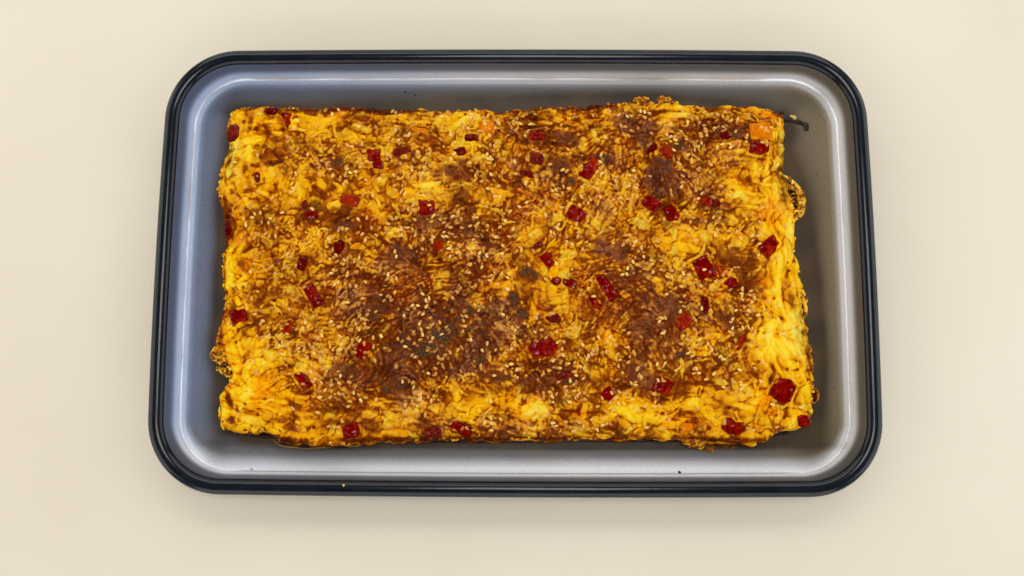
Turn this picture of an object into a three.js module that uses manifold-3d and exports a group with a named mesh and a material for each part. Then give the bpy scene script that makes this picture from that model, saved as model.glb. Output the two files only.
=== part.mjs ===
import * as THREE from "three";
import { mergeVertices } from "three/addons/utils/BufferGeometryUtils.js";
import Module from "manifold-3d";

// A slab of vegetable pie in its own shallow baking tin.
// Lengths are in millimetres. X runs along the tin, Y across it towards the far side, Z up.
// The origin is on the surface that the tin stands on, under the middle of the tin.

// Tin
const TIN_LENGTH = 421.8;
const TIN_WIDTH = 264.8;
const TIN_HEIGHT = 22;
const TIN_CORNER_RADIUS = 43.4;
const SIDE_BOW = 0.9;
const RIM_WIDTH = 9;
const RIM_HEIGHT = 7.4;
const SHEET = 1;
const WALL_TOP_INSET = 9.4;
const WALL_FOOT_INSET = 10.2;
const FOOT_RADIUS = 6.5;
const CORNER_STEPS = 9;
const BOW_STEPS_LONG = 4;
const BOW_STEPS_SHORT = 2;

// Pie
const PIE_BASE = SHEET + 0.3;
const PIE_TOP = 15.4;
const DOME_RISE = 1.3;
const EDGE_DROP = 2.1;
const SECOND_ROW_DROP = 0.5;
const SIDE_BULGE = 0.9;
const STEPS_LONG = 54;
const STEPS_SHORT = 30;
const WAVE_COUNT = 14;
const LONGEST_WAVE = 64;
const SHORTEST_WAVE = 12;
const WAVE_SLOPE = 0.0075;
const SMALLEST_WAVE_HEIGHT = 0.19;
const GOLDEN_ANGLE = Math.PI * (3 - Math.sqrt(5));

// Four sides of the pie as it lies in the tin, each from left to right or from near to far.
const NEAR_LEFT = [-168.5, -94.5];
const NEAR_RIGHT = [170, -91.5];
const FAR_LEFT = [-171.5, 95.5];
const FAR_RIGHT = [160.8, 93.5];
const NEAR_SIDE = [
  NEAR_LEFT, [-155, -96.8], [-141, -96.5], [-136, -101.5], [-118, -103.2], [-94.5, -102.9],
  [-65.7, -100.8], [-19.6, -100.6], [26.4, -99.9], [72.5, -99.1], [118.4, -100.7],
  [146, -100.3], [151.3, -95.2], [159.4, -92.9], NEAR_RIGHT,
];
const RIGHT_SIDE = [
  NEAR_RIGHT, [172.6, -77.1], [173, -54.1], [170.8, -36.6], [167.3, -20.5], [168.7, -14],
  [165.6, 10.7], [165, 26.3], [166.5, 40.9], [161.9, 55.5], [160.6, 68.4], [161.5, 85], FAR_RIGHT,
];
const FAR_SIDE = [
  FAR_LEFT, [-164.9, 97.2], [-130.3, 97.2], [-81.8, 96.4], [-51.5, 95.8], [-3.1, 95.8],
  [27.1, 97.4], [51.3, 99.6], [78.5, 101.3], [92.4, 101.3], [111.7, 98.1], [147.8, 97.6], FAR_RIGHT,
];
const LEFT_SIDE = [
  NEAR_LEFT, [-171.2, -81.2], [-168.7, -72.5], [-164.9, -64.4], [-168.2, -58.6], [-174.5, -49.3],
  [-174.8, -42.3], [-172.2, -34.7], [-171.1, -19.9], [-172.5, -2.1], [-171.4, 12.9], [-173.2, 25],
  [-176.3, 40.2], [-176.7, 49.4], [-174.3, 63.6], [-172.4, 74.1], [-173.5, 84.7], FAR_LEFT,
];

// Shreds that curl out of the sides: points along each, and its radius.
const EDGE_SHREDS = [
  { radius: 1.1, points: [[160, 57, 12], [167.5, 51, 13.2], [172, 42, 12.6], [171, 33, 12], [163, 26, 12]] },
  { radius: 1, points: [[-166, -60, 11], [-172.5, -57, 12.6], [-176.6, -50, 12.8], [-172, -44, 11.5]] },
  { radius: 0.9, points: [[-164, -66, 10], [-170, -63, 9.4], [-174.6, -57.5, 8.8], [-171, -51, 9]] },
  { radius: 1, points: [[69, 97, 12.5], [73, 102.4, 14], [79, 103.2, 14.2], [82, 98, 12.4]] },
  { radius: 0.9, points: [[86, 98, 12.6], [89.5, 103, 13.8], [94.5, 102.6, 13.8], [96, 97, 12.2]] },
  { radius: 1.1, points: [[158, -20, 11], [168, -12, 12], [171, -26, 12], [166, -34, 10.5]] },
  { radius: 1, points: [[96, -96, 9], [101, -102.5, 7], [109, -103.4, 6.4], [115, -97, 8]] },
];
const SHRED_SIDES = 5;
const SHRED_STEPS = 5;
const RING_SHRED_STEPS = 10;
const RING_SHRED = { x: 174.2, y: -74.6, z: 11.4, width: 6.8, length: 11.6, radius: 0.95 };

// Diced vegetables: middle of each, its length and width, how far the length is turned from X in
// degrees, and how many corners it has.
const RED_PEPPERS = [
  { x: -169.6, y: 81.2, length: 10.6, width: 6.2, turn: 80, corners: 7 },
  { x: -137.4, y: 89.4, length: 10.4, width: 7.8, turn: -88, corners: 3 },
  { x: -83.6, y: 64.2, length: 12, width: 8, turn: -80, corners: 4 },
  { x: -67.8, y: 69.2, length: 10.8, width: 6.4, turn: 4, corners: 5 },
  { x: -25.8, y: 77.9, length: 8.6, width: 4.8, turn: -4, corners: 8 },
  { x: -32.9, y: 68.4, length: 8, width: 7.6, turn: 10, corners: 7 },
  { x: 13.2, y: 79, length: 9.8, width: 6.6, turn: 6, corners: 6 },
  { x: 13.4, y: 65, length: 8, width: 7.2, turn: -12, corners: 5 },
  { x: 44.7, y: 58.9, length: 12.8, width: 6.8, turn: 56, corners: 4 },
  { x: 90.2, y: 69, length: 9.6, width: 6.6, turn: -50, corners: 5 },
  { x: 145.4, y: 71, length: 11.6, width: 6.6, turn: -10, corners: 4 },
  { x: -120.8, y: 30.4, length: 7.6, width: 7, turn: 30, corners: 5 },
  { x: -97.6, y: 39.6, length: 10.8, width: 5, turn: -16, corners: 4 },
  { x: -103.8, y: 11.2, length: 9.4, width: 6.8, turn: 82, corners: 6 },
  { x: -52, y: 35, length: 8.4, width: 8, turn: 3, corners: 4 },
  { x: -44, y: 11.4, length: 8.6, width: 6.6, turn: -62, corners: 6 },
  { x: 36.4, y: 31.4, length: 10.6, width: 8, turn: -28, corners: 4 },
  { x: 80.9, y: 38, length: 9, width: 7.4, turn: -34, corners: 4 },
  { x: 93.2, y: 31.2, length: 11.6, width: 7.6, turn: -58, corners: 5 },
  { x: 113.4, y: 39.6, length: 7.4, width: 6, turn: -20, corners: 6 },
  { x: 150.2, y: 12.6, length: 12, width: 7.9, turn: 42, corners: 4 },
  { x: -124.6, y: 1.2, length: 8, width: 4.8, turn: 76, corners: 4 },
  { x: -118, y: -17.2, length: 13, width: 6.6, turn: -62, corners: 4 },
  { x: -161.4, y: -29.8, length: 9.6, width: 8.8, turn: 24, corners: 4 },
  { x: -132.1, y: -36.6, length: 8.4, width: 6.4, turn: 72, corners: 5 },
  { x: 19.6, y: 4, length: 8.2, width: 5.8, turn: -52, corners: 4 },
  { x: 33.4, y: -9.6, length: 11.4, width: 5.4, turn: -5, corners: 5 },
  { x: 54.4, y: -12.4, length: 15, width: 6, turn: -56, corners: 4 },
  { x: 47.2, y: -21.2, length: 9.6, width: 5, turn: -56, corners: 5 },
  { x: 22.4, y: -30.2, length: 12.6, width: 5.4, turn: -4, corners: 6 },
  { x: 111.1, y: -1, length: 13, width: 9.6, turn: -66, corners: 4 },
  { x: 127.2, y: -9, length: 9.6, width: 6.6, turn: 34, corners: 5 },
  { x: 98.9, y: -32, length: 9.2, width: 6.8, turn: 50, corners: 4 },
  { x: 111.6, y: -22.8, length: 11, width: 4.8, turn: -84, corners: 5 },
  { x: -122.2, y: -66.6, length: 10, width: 5.8, turn: -56, corners: 4 },
  { x: -87.8, y: -48.2, length: 11.8, width: 8, turn: 68, corners: 6 },
  { x: 16.6, y: -47.6, length: 16, width: 10.6, turn: 8, corners: 6 },
  { x: 29.6, y: -63.4, length: 11.4, width: 4.6, turn: 12, corners: 5 },
  { x: 53.4, y: -73.6, length: 9.4, width: 7.8, turn: -70, corners: 5 },
  { x: 85.8, y: -69.4, length: 10.4, width: 8.4, turn: -24, corners: 4 },
  { x: 154.2, y: -72, length: 14.4, width: 12.4, turn: 62, corners: 7 },
  { x: -93.2, y: -95.4, length: 11, width: 8.8, turn: 14, corners: 5 },
  { x: -46.4, y: -95.8, length: 11.4, width: 6.4, turn: 10, corners: 5 },
  { x: -30.4, y: -93.8, length: 12, width: 5.2, turn: -28, corners: 4 },
  { x: 126, y: -92.4, length: 12.6, width: 8.4, turn: -12, corners: 7 },
  { x: 166.4, y: -89, length: 7, width: 6.6, turn: 0, corners: 7 },
  { x: 81.6, y: 71.6, length: 8, width: 5.2, turn: 30, corners: 5 },
];
const ORANGE_PEPPERS = [
  { x: 146.6, y: 82, length: 12, width: 10, turn: 8, corners: 4 },
  { x: -16.6, y: 84.8, length: 8.6, width: 7, turn: 2, corners: 4 },
];
const DICE_THICKNESS = 4;
const DICE_PROUD = 0.9;
const DICE_CHAMFER = 0.8;
const DICE_UNEVENNESS = 0.16;
const LARGEST_TILT = 7;
const POCKET_GAP = 0.34;
const POCKET_REACH = 9;
const CIRCLE_SQUARENESS = 0.62;

// Sesame seeds that are large enough to show from a step away.
const SEED_COUNT = 78;
const SEED_LENGTH = 3.9;
const SEED_SHRINK = 0.8;
const SEED_WIDTH_SHARE = 0.58;
const SEED_THICKNESS_SHARE = 0.34;
const SEED_DEPTH_SHARE = 0.1;
const SEED_SIDES = 6;
const SEED_BANDS = 3;
const SEED_EDGE_ROOM = 9;
const SEED_DICE_ROOM = 3.2;
const SEED_CROWDED = 0.9;
const SEED_SPARSE = 0.3;

const RANDOM_SEED = 20815;

// Colours
const tinMaterial = new THREE.MeshStandardMaterial({ color: 0x5d5f66, roughness: 0.4, metalness: 0.6 });
const pieMaterial = new THREE.MeshStandardMaterial({ color: 0xc27a16, roughness: 0.5, metalness: 0 });
const redMaterial = new THREE.MeshStandardMaterial({ color: 0x9c1408, roughness: 0.3, metalness: 0 });
const orangeMaterial = new THREE.MeshStandardMaterial({ color: 0xd9780c, roughness: 0.35, metalness: 0 });

const wasm = await Module();
wasm.setup();

const radians = (degrees) => (degrees * Math.PI) / 180;

// A repeatable sequence of numbers from 0 to 1.
function randomSequence(seed) {
  let state = seed >>> 0;
  return () => {
    state = (Math.imul(state, 1664525) + 1013904223) >>> 0;
    return state / 4294967296;
  };
}

// A closed geometry as a solid that can be joined and cut.
function toSolid(geometry) {
  const bare = geometry.clone();
  bare.deleteAttribute("normal");
  bare.deleteAttribute("uv");
  const merged = mergeVertices(bare, 1e-4);
  return new wasm.Manifold(
    new wasm.Mesh({
      numProp: 3,
      vertProperties: new Float32Array(merged.attributes.position.array),
      triVerts: new Uint32Array(merged.index.array),
    }),
  );
}

// A solid as a geometry with flat faces.
function toGeometry(solid) {
  const mesh = solid.getMesh();
  const geometry = new THREE.BufferGeometry();
  geometry.setAttribute("position", new THREE.Float32BufferAttribute(mesh.vertProperties, 3));
  geometry.setIndex(new THREE.BufferAttribute(mesh.triVerts, 1));
  const faceted = geometry.toNonIndexed();
  faceted.computeVertexNormals();
  return faceted;
}

// A geometry from points and from triangles that name them.
function geometryFrom(points, triangles) {
  const geometry = new THREE.BufferGeometry();
  geometry.setAttribute("position", new THREE.Float32BufferAttribute(points.flat(), 3));
  geometry.setIndex(triangles.flat());
  return geometry;
}

// One ring of the tin, all its points set in from the outer edge by the same distance.
function tinRing(inset) {
  const halfLength = TIN_LENGTH / 2 - SIDE_BOW - inset;
  const halfWidth = TIN_WIDTH / 2 - SIDE_BOW - inset;
  const radius = TIN_CORNER_RADIUS - inset;
  const cornerX = halfLength - radius;
  const cornerY = halfWidth - radius;
  const ring = [];
  for (let quarter = 0; quarter < 4; quarter++) {
    const signX = quarter === 0 || quarter === 3 ? 1 : -1;
    const signY = quarter < 2 ? 1 : -1;
    for (let step = 0; step <= CORNER_STEPS; step++) {
      const angle = (Math.PI / 2) * (quarter + step / CORNER_STEPS);
      ring.push([signX * cornerX + radius * Math.cos(angle), signY * cornerY + radius * Math.sin(angle)]);
    }
    const isLong = quarter % 2 === 0;
    const steps = isLong ? BOW_STEPS_LONG : BOW_STEPS_SHORT;
    const half = isLong ? cornerX : cornerY;
    for (let step = 1; step < steps; step++) {
      const along = 1 - (2 * step) / steps;
      const out = SIDE_BOW * (1 - along * along);
      ring.push(
        isLong
          ? [signX * half * along, signY * (halfWidth + out)]
          : [signX * (halfLength + out), signY * half * along],
      );
    }
  }
  return ring;
}

// Points on an arc of an ellipse in the plane of inset and height.
function arc(centreInset, centreHeight, radiusInset, radiusHeight, from, to, steps) {
  return Array.from({ length: steps + 1 }, (_, i) => {
    const angle = radians(from + ((to - from) * i) / steps);
    return [centreInset - radiusInset * Math.cos(angle), centreHeight + radiusHeight * Math.sin(angle)];
  });
}

// The tin: its section runs from the middle of the underside, up outside, over the rolled rim and
// down inside to the middle of the floor.
function tinGeometry() {
  const footInset = WALL_FOOT_INSET + FOOT_RADIUS;
  const footHeight = SHEET + FOOT_RADIUS;
  const rimInset = RIM_WIDTH / 2;
  const rimMiddle = TIN_HEIGHT - RIM_HEIGHT / 2;
  const section = [
    ...arc(footInset, footHeight, FOOT_RADIUS + SHEET, footHeight, -90, 0, 3),
    [WALL_TOP_INSET - SHEET, rimMiddle - RIM_HEIGHT * 0.47],
    ...arc(rimInset, rimMiddle, RIM_WIDTH / 2, RIM_HEIGHT / 2, -60, 170, 9),
    [WALL_TOP_INSET, rimMiddle - RIM_HEIGHT * 0.14],
    ...arc(footInset, footHeight, FOOT_RADIUS, FOOT_RADIUS, 0, -90, 4),
  ];
  const points = [];
  for (const [inset, height] of section) {
    for (const [x, y] of tinRing(inset)) points.push([x, y, height]);
  }
  const count = points.length / section.length;
  const triangles = [];
  for (let row = 0; row + 1 < section.length; row++) {
    for (let i = 0; i < count; i++) {
      const next = (i + 1) % count;
      const a = row * count + i;
      const b = row * count + next;
      const c = a + count;
      const d = b + count;
      triangles.push([a, b, c], [b, d, c]);
    }
  }
  const last = (section.length - 1) * count;
  for (let i = 1; i + 1 < count; i++) {
    triangles.push([0, i + 1, i], [last, last + i, last + i + 1]);
  }
  return geometryFrom(points, triangles);
}

// Swells and lumps of the baked surface, from broad ones to small ones.
const surfaceWaves = Array.from({ length: WAVE_COUNT }, (_, i) => {
  const length = LONGEST_WAVE * (SHORTEST_WAVE / LONGEST_WAVE) ** (i / (WAVE_COUNT - 1));
  const heading = i * GOLDEN_ANGLE;
  return {
    acrossX: ((2 * Math.PI) / length) * Math.cos(heading),
    acrossY: ((2 * Math.PI) / length) * Math.sin(heading),
    start: 1.7 * i,
    height: SMALLEST_WAVE_HEIGHT + WAVE_SLOPE * length,
  };
});

// Height of the pie's top away from its edges.
function pieTop(x, y) {
  const dome = DOME_RISE * (1 - (x / 175) ** 4) * (1 - (y / 100) ** 4);
  let waves = 0;
  for (const wave of surfaceWaves) {
    waves += wave.height * Math.sin(wave.acrossX * x + wave.acrossY * y + wave.start);
  }
  return PIE_TOP + dome + waves;
}

function sideCurve(points) {
  return new THREE.CatmullRomCurve3(points.map(([x, y]) => new THREE.Vector3(x, y, 0)), false, "centripetal");
}

// Blends the four sides into an even net of points over the whole pie.
function pieNet() {
  const near = sideCurve(NEAR_SIDE).getSpacedPoints(STEPS_LONG);
  const far = sideCurve(FAR_SIDE).getSpacedPoints(STEPS_LONG);
  const left = sideCurve(LEFT_SIDE).getSpacedPoints(STEPS_SHORT);
  const right = sideCurve(RIGHT_SIDE).getSpacedPoints(STEPS_SHORT);
  const rows = [];
  for (let j = 0; j <= STEPS_SHORT; j++) {
    const v = j / STEPS_SHORT;
    const row = [];
    for (let i = 0; i <= STEPS_LONG; i++) {
      const u = i / STEPS_LONG;
      const blend = (axis) =>
        (1 - v) * near[i][axis] + v * far[i][axis] + (1 - u) * left[j][axis] + u * right[j][axis]
        - (1 - u) * (1 - v) * near[0][axis] - u * (1 - v) * near[STEPS_LONG][axis]
        - (1 - u) * v * far[0][axis] - u * v * far[STEPS_LONG][axis];
      row.push([blend("x"), blend("y")]);
    }
    rows.push(row);
  }
  return rows;
}

// The slab of pie with its uneven top and rough sides, before anything is set into it.
function slabSolid() {
  const net = pieNet();
  const points = [];
  const triangles = [];
  const place = (i, j) => j * (STEPS_LONG + 1) + i;
  net.forEach((row, j) =>
    row.forEach(([x, y], i) => {
      const ring = Math.min(i, j, STEPS_LONG - i, STEPS_SHORT - j);
      const drop = ring === 0 ? EDGE_DROP : ring === 1 ? SECOND_ROW_DROP : 0;
      points.push([x, y, pieTop(x, y) - drop]);
    }),
  );
  for (let j = 0; j < STEPS_SHORT; j++) {
    for (let i = 0; i < STEPS_LONG; i++) {
      const a = place(i, j);
      const b = place(i + 1, j);
      const c = place(i + 1, j + 1);
      const d = place(i, j + 1);
      if ((i + j) % 2 === 0) triangles.push([a, b, c], [a, c, d]);
      else triangles.push([a, b, d], [b, c, d]);
    }
  }
  const edge = [];
  for (let i = 0; i < STEPS_LONG; i++) edge.push(place(i, 0));
  for (let j = 0; j < STEPS_SHORT; j++) edge.push(place(STEPS_LONG, j));
  for (let i = STEPS_LONG; i > 0; i--) edge.push(place(i, STEPS_SHORT));
  for (let j = STEPS_SHORT; j > 0; j--) edge.push(place(0, j));
  const levels = [
    { share: 0.62, out: SIDE_BULGE },
    { share: 0.26, out: SIDE_BULGE * 0.6 },
    { share: 0, out: 0 },
  ];
  let upper = edge;
  for (const { share, out } of levels) {
    const lower = edge.map((from, k) => {
      const before = points[edge[(k + edge.length - 1) % edge.length]];
      const after = points[edge[(k + 1) % edge.length]];
      const alongX = after[0] - before[0];
      const alongY = after[1] - before[1];
      const size = Math.hypot(alongX, alongY);
      const [x, y, z] = points[from];
      const rough = out * (1 + 0.8 * Math.sin(1.9 * k + 9 * share) * Math.cos(0.7 * k));
      points.push([
        x + (rough * alongY) / size,
        y - (rough * alongX) / size,
        PIE_BASE + share * (z - PIE_BASE),
      ]);
      return points.length - 1;
    });
    upper.forEach((a, k) => {
      const next = (k + 1) % edge.length;
      triangles.push([a, lower[k], upper[next]], [upper[next], lower[k], lower[next]]);
    });
    upper = lower;
  }
  const under = upper.map((index) => new THREE.Vector2(points[index][0], points[index][1]));
  for (const [a, b, c] of THREE.ShapeUtils.triangulateShape(under, [])) {
    triangles.push([upper[a], upper[c], upper[b]]);
  }
  return toSolid(geometryFrom(points, triangles));
}

// Outline of a diced piece. Three corners give a wedge, four a block, more a rounded piece.
function diceOutline(piece, random) {
  const halfLength = piece.length / 2;
  const halfWidth = piece.width / 2;
  const first = piece.corners === 4 ? Math.atan2(halfWidth, halfLength) : 0;
  return Array.from({ length: piece.corners }, (_, i) => {
    const isBlock = piece.corners === 4;
    const blockAngles = [first, Math.PI - first, Math.PI + first, -first];
    const angle = isBlock ? blockAngles[i] : (2 * Math.PI * i) / piece.corners;
    const uneven = 1 - DICE_UNEVENNESS * random();
    if (isBlock) {
      return [
        Math.sign(Math.cos(angle)) * halfLength * uneven,
        Math.sign(Math.sin(angle)) * halfWidth * (1 - DICE_UNEVENNESS * random()),
      ];
    }
    const full = (value) => Math.sign(value) * Math.abs(value) ** CIRCLE_SQUARENESS;
    return [halfLength * full(Math.cos(angle)) * uneven, halfWidth * full(Math.sin(angle)) * uneven];
  });
}

// The outline moved out by a distance, its corners kept.
function grown(outline, distance) {
  return outline.map((corner, i) => {
    const before = outline[(i + outline.length - 1) % outline.length];
    const after = outline[(i + 1) % outline.length];
    const sideIn = [corner[0] - before[0], corner[1] - before[1]];
    const sideOut = [after[0] - corner[0], after[1] - corner[1]];
    const sizeIn = Math.hypot(...sideIn);
    const sizeOut = Math.hypot(...sideOut);
    const normalIn = [sideIn[1] / sizeIn, -sideIn[0] / sizeIn];
    const normalOut = [sideOut[1] / sizeOut, -sideOut[0] / sizeOut];
    const middle = [normalIn[0] + normalOut[0], normalIn[1] + normalOut[1]];
    const scale = distance / (1 + normalIn[0] * normalOut[0] + normalIn[1] * normalOut[1]);
    return [corner[0] + middle[0] * scale, corner[1] + middle[1] * scale];
  });
}

// A closed solid through rings that all have the same number of corners.
function loft(rings) {
  const count = rings[0].outline.length;
  const points = rings.flatMap(({ outline, height }) => outline.map(([x, y]) => [x, y, height]));
  const triangles = [];
  for (let row = 0; row + 1 < rings.length; row++) {
    for (let i = 0; i < count; i++) {
      const next = (i + 1) % count;
      const a = row * count + i;
      const b = row * count + next;
      triangles.push([a, b, a + count], [b, b + count, a + count]);
    }
  }
  const last = (rings.length - 1) * count;
  for (let i = 1; i + 1 < count; i++) {
    triangles.push([0, i + 1, i], [last, last + i, last + i + 1]);
  }
  return geometryFrom(points, triangles);
}

// One diced piece and the pocket that holds it, in the piece's own frame, with the place of both.
function dice(piece, random) {
  const outline = diceOutline(piece, random);
  const small = grown(outline, -DICE_CHAMFER);
  const body = loft([
    { outline: small, height: -DICE_THICKNESS / 2 },
    { outline, height: -DICE_THICKNESS / 2 + DICE_CHAMFER },
    { outline, height: DICE_THICKNESS / 2 - DICE_CHAMFER },
    { outline: small, height: DICE_THICKNESS / 2 },
  ]);
  const wide = grown(outline, POCKET_GAP);
  const pocket = loft([
    { outline: wide, height: -DICE_THICKNESS / 2 - POCKET_GAP },
    { outline: wide, height: POCKET_REACH },
  ]);
  const position = new THREE.Vector3(
    piece.x,
    piece.y,
    pieTop(piece.x, piece.y) + DICE_PROUD - DICE_THICKNESS / 2,
  );
  const tiltX = radians(LARGEST_TILT * (2 * random() - 1));
  const tiltY = radians(LARGEST_TILT * (2 * random() - 1));
  const rotation = new THREE.Euler(tiltX, tiltY, radians(piece.turn), "XYZ");
  return { body, pocket, position, rotation };
}

// A shred as a thin closed strand along a smooth path.
function shredSolid({ points, radius }) {
  const path = new THREE.CatmullRomCurve3(points.map((point) => new THREE.Vector3(...point)));
  const section = new THREE.Shape(
    Array.from({ length: SHRED_SIDES }, (_, i) => {
      const angle = (2 * Math.PI * i) / SHRED_SIDES;
      return new THREE.Vector2(radius * Math.cos(angle), radius * Math.sin(angle));
    }),
  );
  return toSolid(new THREE.ExtrudeGeometry(section, { steps: SHRED_STEPS, extrudePath: path }));
}

// The shred that has curled into a ring at the right edge.
function ringShredSolid() {
  const { x, y, z, width, length, radius } = RING_SHRED;
  const ring = new THREE.TorusGeometry(width / 2 - radius, radius, SHRED_SIDES, RING_SHRED_STEPS);
  ring.scale(1, length / width, 1);
  ring.translate(x, y, z);
  return toSolid(ring);
}

// How many seeds lie round a place: many over the browned middle, few along the sides.
function seedShare(x, y) {
  const middle = Math.max(0, 1 - (Math.abs(x) / 172) ** 5) * Math.max(0, 1 - (Math.abs(y) / 99) ** 4);
  return SEED_SPARSE + (SEED_CROWDED - SEED_SPARSE) * middle;
}

// Places of the seeds, the largest first, spread evenly and clear of the diced pieces.
function seedPlaces(pieces, random) {
  const plastic = 1.32471795724474602596;
  const places = [];
  for (let i = 1; places.length < SEED_COUNT; i++) {
    const x = (((0.5 + i / plastic) % 1) - 0.5) * 2 * (172 - SEED_EDGE_ROOM);
    const y = (((0.5 + i / plastic ** 2) % 1) - 0.5) * 2 * (99 - SEED_EDGE_ROOM);
    const isKept = random() < seedShare(x, y);
    const turn = 2 * Math.PI * random();
    const isFree = pieces.every(
      (piece) => Math.hypot(piece.x - x, piece.y - y) > Math.max(piece.length, piece.width) / 2 + SEED_DICE_ROOM,
    );
    if (isKept && isFree) places.push({ x, y, turn });
  }
  return places;
}

// One seed lying on the pie's top.
function seedSolid({ x, y, turn }, length) {
  const seed = new THREE.SphereGeometry(0.5, SEED_SIDES, SEED_BANDS);
  seed.rotateX(Math.PI / 2);
  seed.scale(length, length * SEED_WIDTH_SHARE, length * SEED_THICKNESS_SHARE);
  seed.rotateZ(turn);
  const step = length / 2;
  const slopeX = (pieTop(x + step, y) - pieTop(x - step, y)) / length;
  const slopeY = (pieTop(x, y + step) - pieTop(x, y - step)) / length;
  const normal = new THREE.Vector3(-slopeX, -slopeY, 1).normalize();
  const lean = new THREE.Quaternion().setFromUnitVectors(new THREE.Vector3(0, 0, 1), normal);
  seed.applyQuaternion(lean);
  seed.translate(x, y, pieTop(x, y) + SEED_DEPTH_SHARE * length);
  return toSolid(seed);
}

// The pie in one piece: the slab with its shreds and seeds, less a pocket for each diced piece.
function pieGeometry(dicedPieces, pieces, random) {
  let pie = slabSolid();
  for (const shred of EDGE_SHREDS) pie = pie.add(shredSolid(shred));
  pie = pie.add(ringShredSolid());
  for (const { pocket, position, rotation } of dicedPieces) {
    const hole = pocket.clone();
    hole.applyMatrix4(new THREE.Matrix4().makeRotationFromEuler(rotation).setPosition(position));
    pie = pie.subtract(toSolid(hole));
  }
  seedPlaces(pieces, random).forEach((place, i) => {
    const length = SEED_LENGTH * (1 - ((1 - SEED_SHRINK) * i) / SEED_COUNT);
    pie = pie.add(seedSolid(place, length));
  });
  const bodies = pie.decompose();
  bodies.sort((a, b) => b.volume() - a.volume());
  return toGeometry(bodies[0]);
}

function named(name, geometry, material) {
  const mesh = new THREE.Mesh(geometry, material);
  mesh.name = name;
  return mesh;
}

const random = randomSequence(RANDOM_SEED);
const allPieces = [...RED_PEPPERS, ...ORANGE_PEPPERS];
const dicedPieces = allPieces.map((piece) => dice(piece, random));

const dish = new THREE.Group();
dish.add(named("tin", tinGeometry(), tinMaterial));
dish.add(named("pie", pieGeometry(dicedPieces, allPieces, random), pieMaterial));
dicedPieces.forEach(({ body, position, rotation }, i) => {
  const isRed = i < RED_PEPPERS.length;
  const number = String(isRed ? i + 1 : i + 1 - RED_PEPPERS.length).padStart(2, "0");
  const name = (isRed ? "red_pepper_" : "orange_pepper_") + number;
  const mesh = named(name, body, isRed ? redMaterial : orangeMaterial);
  mesh.position.copy(position);
  mesh.rotation.copy(rotation);
  dish.add(mesh);
});

export default dish;
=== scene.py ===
"""Looks of a slab of vegetable pie in its baking tin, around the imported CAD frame."""

import math

import bpy
import numpy as np
from mathutils import Matrix, Vector


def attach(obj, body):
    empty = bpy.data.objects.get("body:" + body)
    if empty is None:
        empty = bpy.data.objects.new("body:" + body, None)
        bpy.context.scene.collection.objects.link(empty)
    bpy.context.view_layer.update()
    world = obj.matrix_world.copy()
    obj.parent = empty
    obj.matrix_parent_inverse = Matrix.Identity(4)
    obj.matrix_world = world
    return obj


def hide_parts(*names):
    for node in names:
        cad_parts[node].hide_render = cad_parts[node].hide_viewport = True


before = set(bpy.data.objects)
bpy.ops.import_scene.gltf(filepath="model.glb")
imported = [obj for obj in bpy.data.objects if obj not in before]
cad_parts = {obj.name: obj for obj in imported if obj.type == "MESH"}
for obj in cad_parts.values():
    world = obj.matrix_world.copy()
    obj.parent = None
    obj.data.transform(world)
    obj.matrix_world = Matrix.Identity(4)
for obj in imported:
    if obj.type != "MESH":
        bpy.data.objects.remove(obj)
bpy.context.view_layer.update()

MM = 0.001
TAU = 2 * math.pi

# Tin, in millimetres, as in the part's source
TIN_LENGTH, TIN_WIDTH, TIN_HEIGHT = 421.8, 264.8, 22.0
TIN_CORNER_RADIUS, SIDE_BOW = 43.4, 0.9
RIM_WIDTH, RIM_HEIGHT = 9.0, 7.4
SHEET = 1.0
WALL_TOP_INSET, WALL_FOOT_INSET, FOOT_RADIUS = 9.4, 10.2, 6.5
FLOOR_TOP = SHEET

# Pie, as in the part's source
PIE_BASE, PIE_TOP, DOME_RISE, SIDE_BULGE = 1.3, 15.4, 1.3, 0.9
WAVE_COUNT, LONGEST_WAVE, SHORTEST_WAVE = 14, 64.0, 12.0
WAVE_SLOPE, SMALLEST_WAVE_HEIGHT = 0.0075, 0.19
GOLDEN_ANGLE = math.pi * (3 - math.sqrt(5))

NEAR_SIDE = [
    (-168.5, -94.5), (-155, -96.8), (-141, -96.5), (-136, -101.5), (-118, -103.2), (-94.5, -102.9),
    (-65.7, -100.8), (-19.6, -100.6), (26.4, -99.9), (72.5, -99.1), (118.4, -100.7),
    (146, -100.3), (151.3, -95.2), (159.4, -92.9), (170, -91.5),
]
RIGHT_SIDE = [
    (170, -91.5), (172.6, -77.1), (173, -54.1), (170.8, -36.6), (167.3, -20.5), (168.7, -14),
    (165.6, 10.7), (165, 26.3), (166.5, 40.9), (161.9, 55.5), (160.6, 68.4), (161.5, 85), (160.8, 93.5),
]
FAR_SIDE = [
    (-171.5, 95.5), (-164.9, 97.2), (-130.3, 97.2), (-81.8, 96.4), (-51.5, 95.8), (-3.1, 95.8),
    (27.1, 97.4), (51.3, 99.6), (78.5, 101.3), (92.4, 101.3), (111.7, 98.1), (147.8, 97.6), (160.8, 93.5),
]
LEFT_SIDE = [
    (-168.5, -94.5), (-171.2, -81.2), (-168.7, -72.5), (-164.9, -64.4), (-168.2, -58.6), (-174.5, -49.3),
    (-174.8, -42.3), (-172.2, -34.7), (-171.1, -19.9), (-172.5, -2.1), (-171.4, 12.9), (-173.2, 25),
    (-176.3, 40.2), (-176.7, 49.4), (-174.3, 63.6), (-172.4, 74.1), (-173.5, 84.7), (-171.5, 95.5),
]
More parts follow.
